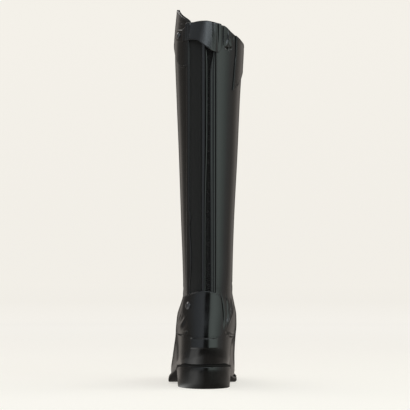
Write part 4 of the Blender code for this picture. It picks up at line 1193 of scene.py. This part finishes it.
def make_heel():
    """Stacked block heel; its top follows the seat of the sole."""
    half = np.linspace(0, math.pi, 600)
    outer, inner = (feather_ring(way * half, reach_at(way * half)) for way in (1, -1))
    back = float(outer[0, 1])
    y = HEEL_BREAST_TOP - (HEEL_BREAST_TOP - back) * np.cos(np.linspace(0.03, math.pi / 2, HEEL_STATIONS))
    left, right = (np.interp(y, edge[:, 1], edge[:, 0]) for edge in (outer, inner))
    middle = (left + right) / 2
    foot_back = back + HEEL_BACK_RUN_IN
    foot_y = foot_back + (y - back) / (HEEL_BREAST_TOP - back) * (HEEL_BREAST_FOOT - foot_back)
    top = feather_z(y) - GAP - outsole_thick(y) - GAP
    rings = []
    for share, inset in HEEL_ROWS:
        along_y = foot_y + (y - foot_y) * share
        centre = (along_y[0] + along_y[-1]) / 2
        squeeze = 1 - inset / HEEL_HALF_WIDTH
        scale = (HEEL_FOOT_SCALE + (1 - HEEL_FOOT_SCALE) * share) * squeeze
        level = np.column_stack((centre + (along_y - centre) * squeeze, top * share))
        lines = [np.column_stack((middle + (edge - middle) * scale, level)) for edge in (left, right)]
        rings.append(np.concatenate([lines[0], lines[1][::-1]]))
    settle(lofted("heel_block_stack", rings, HEEL), "heel_block", "heel")


def stitch_rows():
    """Lines that carry stitches, as sections, angles and offsets."""
    first, last = STITCH_BAND_ENDS
    turn = np.linspace(BAND_START_TURN + first, BAND_EDGE_TURN - last, 600)
    low, high = STITCH_BAND_INSETS
    q = np.linspace(*STITCH_BAND_EDGE_Q, 120)
    rows = [
        (band_low(turn) + low, turn, OVERLAY_TOP),
        (topline(np.mod(turn, FULL_TURN)) - high, turn, OVERLAY_TOP),
        (q, BAND_EDGE_TURN + band_edge_shift(q) - STITCH_BAND_EDGE_INSET, OVERLAY_TOP),
    ]
    first, last = STITCH_BACK_ENDS
    q = np.linspace(SLOT_BOTTOM + first, STRIP_TOP - last, 500)
    rows += [(q, turn_at_x(q, x), offset) for x, offset in STITCH_BACK_ROWS]
    q = np.linspace(EYESTAY_ROWS[0] + STITCH_MARGIN, EYESTAY_ROWS[1] - STITCH_MARGIN, 300)
    for _, sign in SIDES:
        for inset in STITCH_EYESTAY_INSETS:
            rows.append((q, front_turn(q, sign * (throat_half(q) + inset)), OVERLAY_TOP))
    tab_x, _, tab_high = zip(*ANKLE_TAB)
    x = np.linspace(tab_x[0] + STITCH_MARGIN, tab_x[-1] - STITCH_MARGIN, 200)
    rows.append((*back_place(x, track(tab_x, tab_high)(x) - STITCH_MARGIN), ANKLE_TAB_TOP))
    return rows


def make_stitches():
    bars = []
    for q, turn, offset in stitch_rows():
        points = skin(q, turn, offset)
        along = lengths(points)
        at = np.arange(STITCH_PITCH / 2, along[-1], STITCH_PITCH)
        place, further, out = (
            np.stack([np.interp(where, along, column) for column in values.T], axis=1)
            for where, values in ((at, points), (at + STITCH_AHEAD, points), (at, normal(q, turn)))
        )
        bars.append((place, further - place, out))
    settle(capsule_field("seam_stitches", bars, STITCH_SIZE, THREAD, sides=6, rings=5), "lace")


def add_stage(name, points, faces, material):
    """Stage mesh in metres that casts no shadow."""
    mesh = bpy.data.meshes.new(name)
    mesh.from_pydata(points.tolist(), [], faces)
    mesh.materials.append(material)
    piece = bpy.data.objects.new(name, mesh)
    piece.visible_shadow = False
    bpy.context.scene.collection.objects.link(piece)
    return piece


def make_stage():
    """Round pale floor that sweeps up into a wall on every side."""
    bend = np.linspace(0, math.pi / 2, 17)
    radii = np.concatenate([STAGE_RINGS, STAGE_FLOOR + STAGE_COVE * np.sin(bend), [STAGE_FLOOR + STAGE_COVE]])
    heights = np.concatenate([np.zeros(len(STAGE_RINGS)), STAGE_COVE * (1 - np.cos(bend)), [STAGE_TOP]])
    flat = circle(STAGE_SIDES)
    points = np.concatenate([np.insert(r * flat, 2, z, axis=1) for r, z in zip(radii, heights)])
    faces = grid_quads(len(radii), STAGE_SIDES, closed=True)[..., ::-1].reshape(-1, 4).tolist()
    faces.append(tuple(range(STAGE_SIDES)))
    material, tree, shader, place = new_look("backdrop_paper")
    away = add_node(tree, "ShaderNodeVectorMath", {0: place}, operation="LENGTH").outputs["Value"]
    share = spread(tree, away, *STAGE_FADE, 0, 1)
    glow, paper = (ramp(tree, share, tuple(zip((0, 0.5, 1), tones))) for tones in (STAGE_GLOW, STAGE_PAPER))
    fill(tree, shader, {"Emission Color": glow, "Emission Strength": 1, "Base Color": paper, "Roughness": 1,
                        "Specular IOR Level": 0})
    backdrop = add_stage("backdrop", points, faces, material)
    backdrop.data.shade_smooth()
    backdrop.visible_glossy = False


def add_glow(name, points, faces, rows):
    """Stage mesh that glows by bearing and that the camera doesn't see."""
    material, tree, shader, place = new_look(name + "_paper")
    bearing = add_node(tree, "ShaderNodeTexGradient", {"Vector": place}, gradient_type="RADIAL")
    stops = [((degrees + 90) / 360, level * np.array(colour)) for degrees, level, colour in rows]
    fill(tree, shader, {"Emission Color": ramp(tree, bearing.outputs["Fac"], stops), "Emission Strength": 1,
                        "Base Color": (0, 0, 0, 1), "Specular IOR Level": 0})
    glow = add_stage(name, points, faces, material)
    glow.location = (0.0, BOOT_MIDDLE_Y, 0.0)
    glow.visible_camera = False
    return glow


def make_glow():
    """Ring of soft light round the boot, and the floor that the leather mirrors near the heel."""
    flat = np.insert(circle(RING_SIDES), 2, 0, axis=1)
    rings = np.concatenate([RING_RADIUS * flat + (0, 0, z) for z in RING_Z])
    add_glow("light_ring", rings, grid_quads(2, RING_SIDES, closed=True).reshape(-1, 4).tolist(), RING)
    for name, radius, drop, rows in CARDS:
        card = add_glow(name, radius * flat - (0, 0, drop), [tuple(range(RING_SIDES))], rows)
        card.visible_diffuse = False


def add_panel(name, at, aim, size, radiance, colour):
    """Soft light panel that faces a point; its brightness is given as radiance."""
    data = bpy.data.lights.new(name, "AREA")
    data.shape = "RECTANGLE"
    data.size, data.size_y = size
    data.energy = radiance * math.pi * size[0] * size[1]
    data.color = colour
    panel = bpy.data.objects.new(name, data)
    panel.location = at
    panel.visible_camera = False
    panel.rotation_euler = (Vector(aim) - Vector(at)).to_track_quat("-Z", "Y").to_euler()
    bpy.context.scene.collection.objects.link(panel)


def make_lights():
    low, high = PANEL_Z
    for name, first, last, radiance, colour in PANELS:
        ends = [RING_RADIUS * np.array((math.sin(a), -math.cos(a))) for a in np.radians((first, last))]
        x, y = (ends[0] + ends[1]) / 2
        wide = float(np.linalg.norm(ends[1] - ends[0]))
        at = (x, y + BOOT_MIDDLE_Y, (low + high) / 2)
        add_panel(name, at, (0.0, BOOT_MIDDLE_Y, at[2]), (wide, high - low), radiance, colour)
    add_panel("panel_top", *PANEL_TOP)
    world = bpy.data.worlds.new("studio")
    world.use_nodes = True
    tree = world.node_tree
    bearing = add_node(tree, "ShaderNodeTexCoord").outputs["Generated"]
    height = add_node(tree, "ShaderNodeSeparateXYZ", {"Vector": bearing}).outputs["Z"]
    fall = spread(tree, height, *WORLD_FALL, 0, 1)
    fill(tree, tree.nodes["Background"], {"Color": ramp(tree, fall, tuple(zip((0, 1), WORLD_TONES)))})
    bpy.context.scene.world = world


def make_camera():
    data = bpy.data.cameras.new("camera")
    data.lens = CAMERA_LENS
    data.sensor_width = CAMERA_SENSOR
    data.clip_end = CAMERA_CLIP_END
    camera = bpy.data.objects.new("camera", data)
    camera.location = (np.array(CAMERA_AT) + SHIFT) * MM
    camera.rotation_euler = (math.pi / 2, 0.0, 0.0)
    bpy.context.scene.collection.objects.link(camera)
    bpy.context.scene.camera = camera


bpy.context.scene.view_settings.view_transform = "Standard"
for make in (make_camera, make_stage, make_glow, make_lights, make_upper, make_top_band, make_elastic,
             make_binding, make_facings, make_zip, make_tabs, make_heel_trim, make_lacing, make_lace,
             make_outsole, make_insole, make_welt, make_heel, make_stitches):
    make()
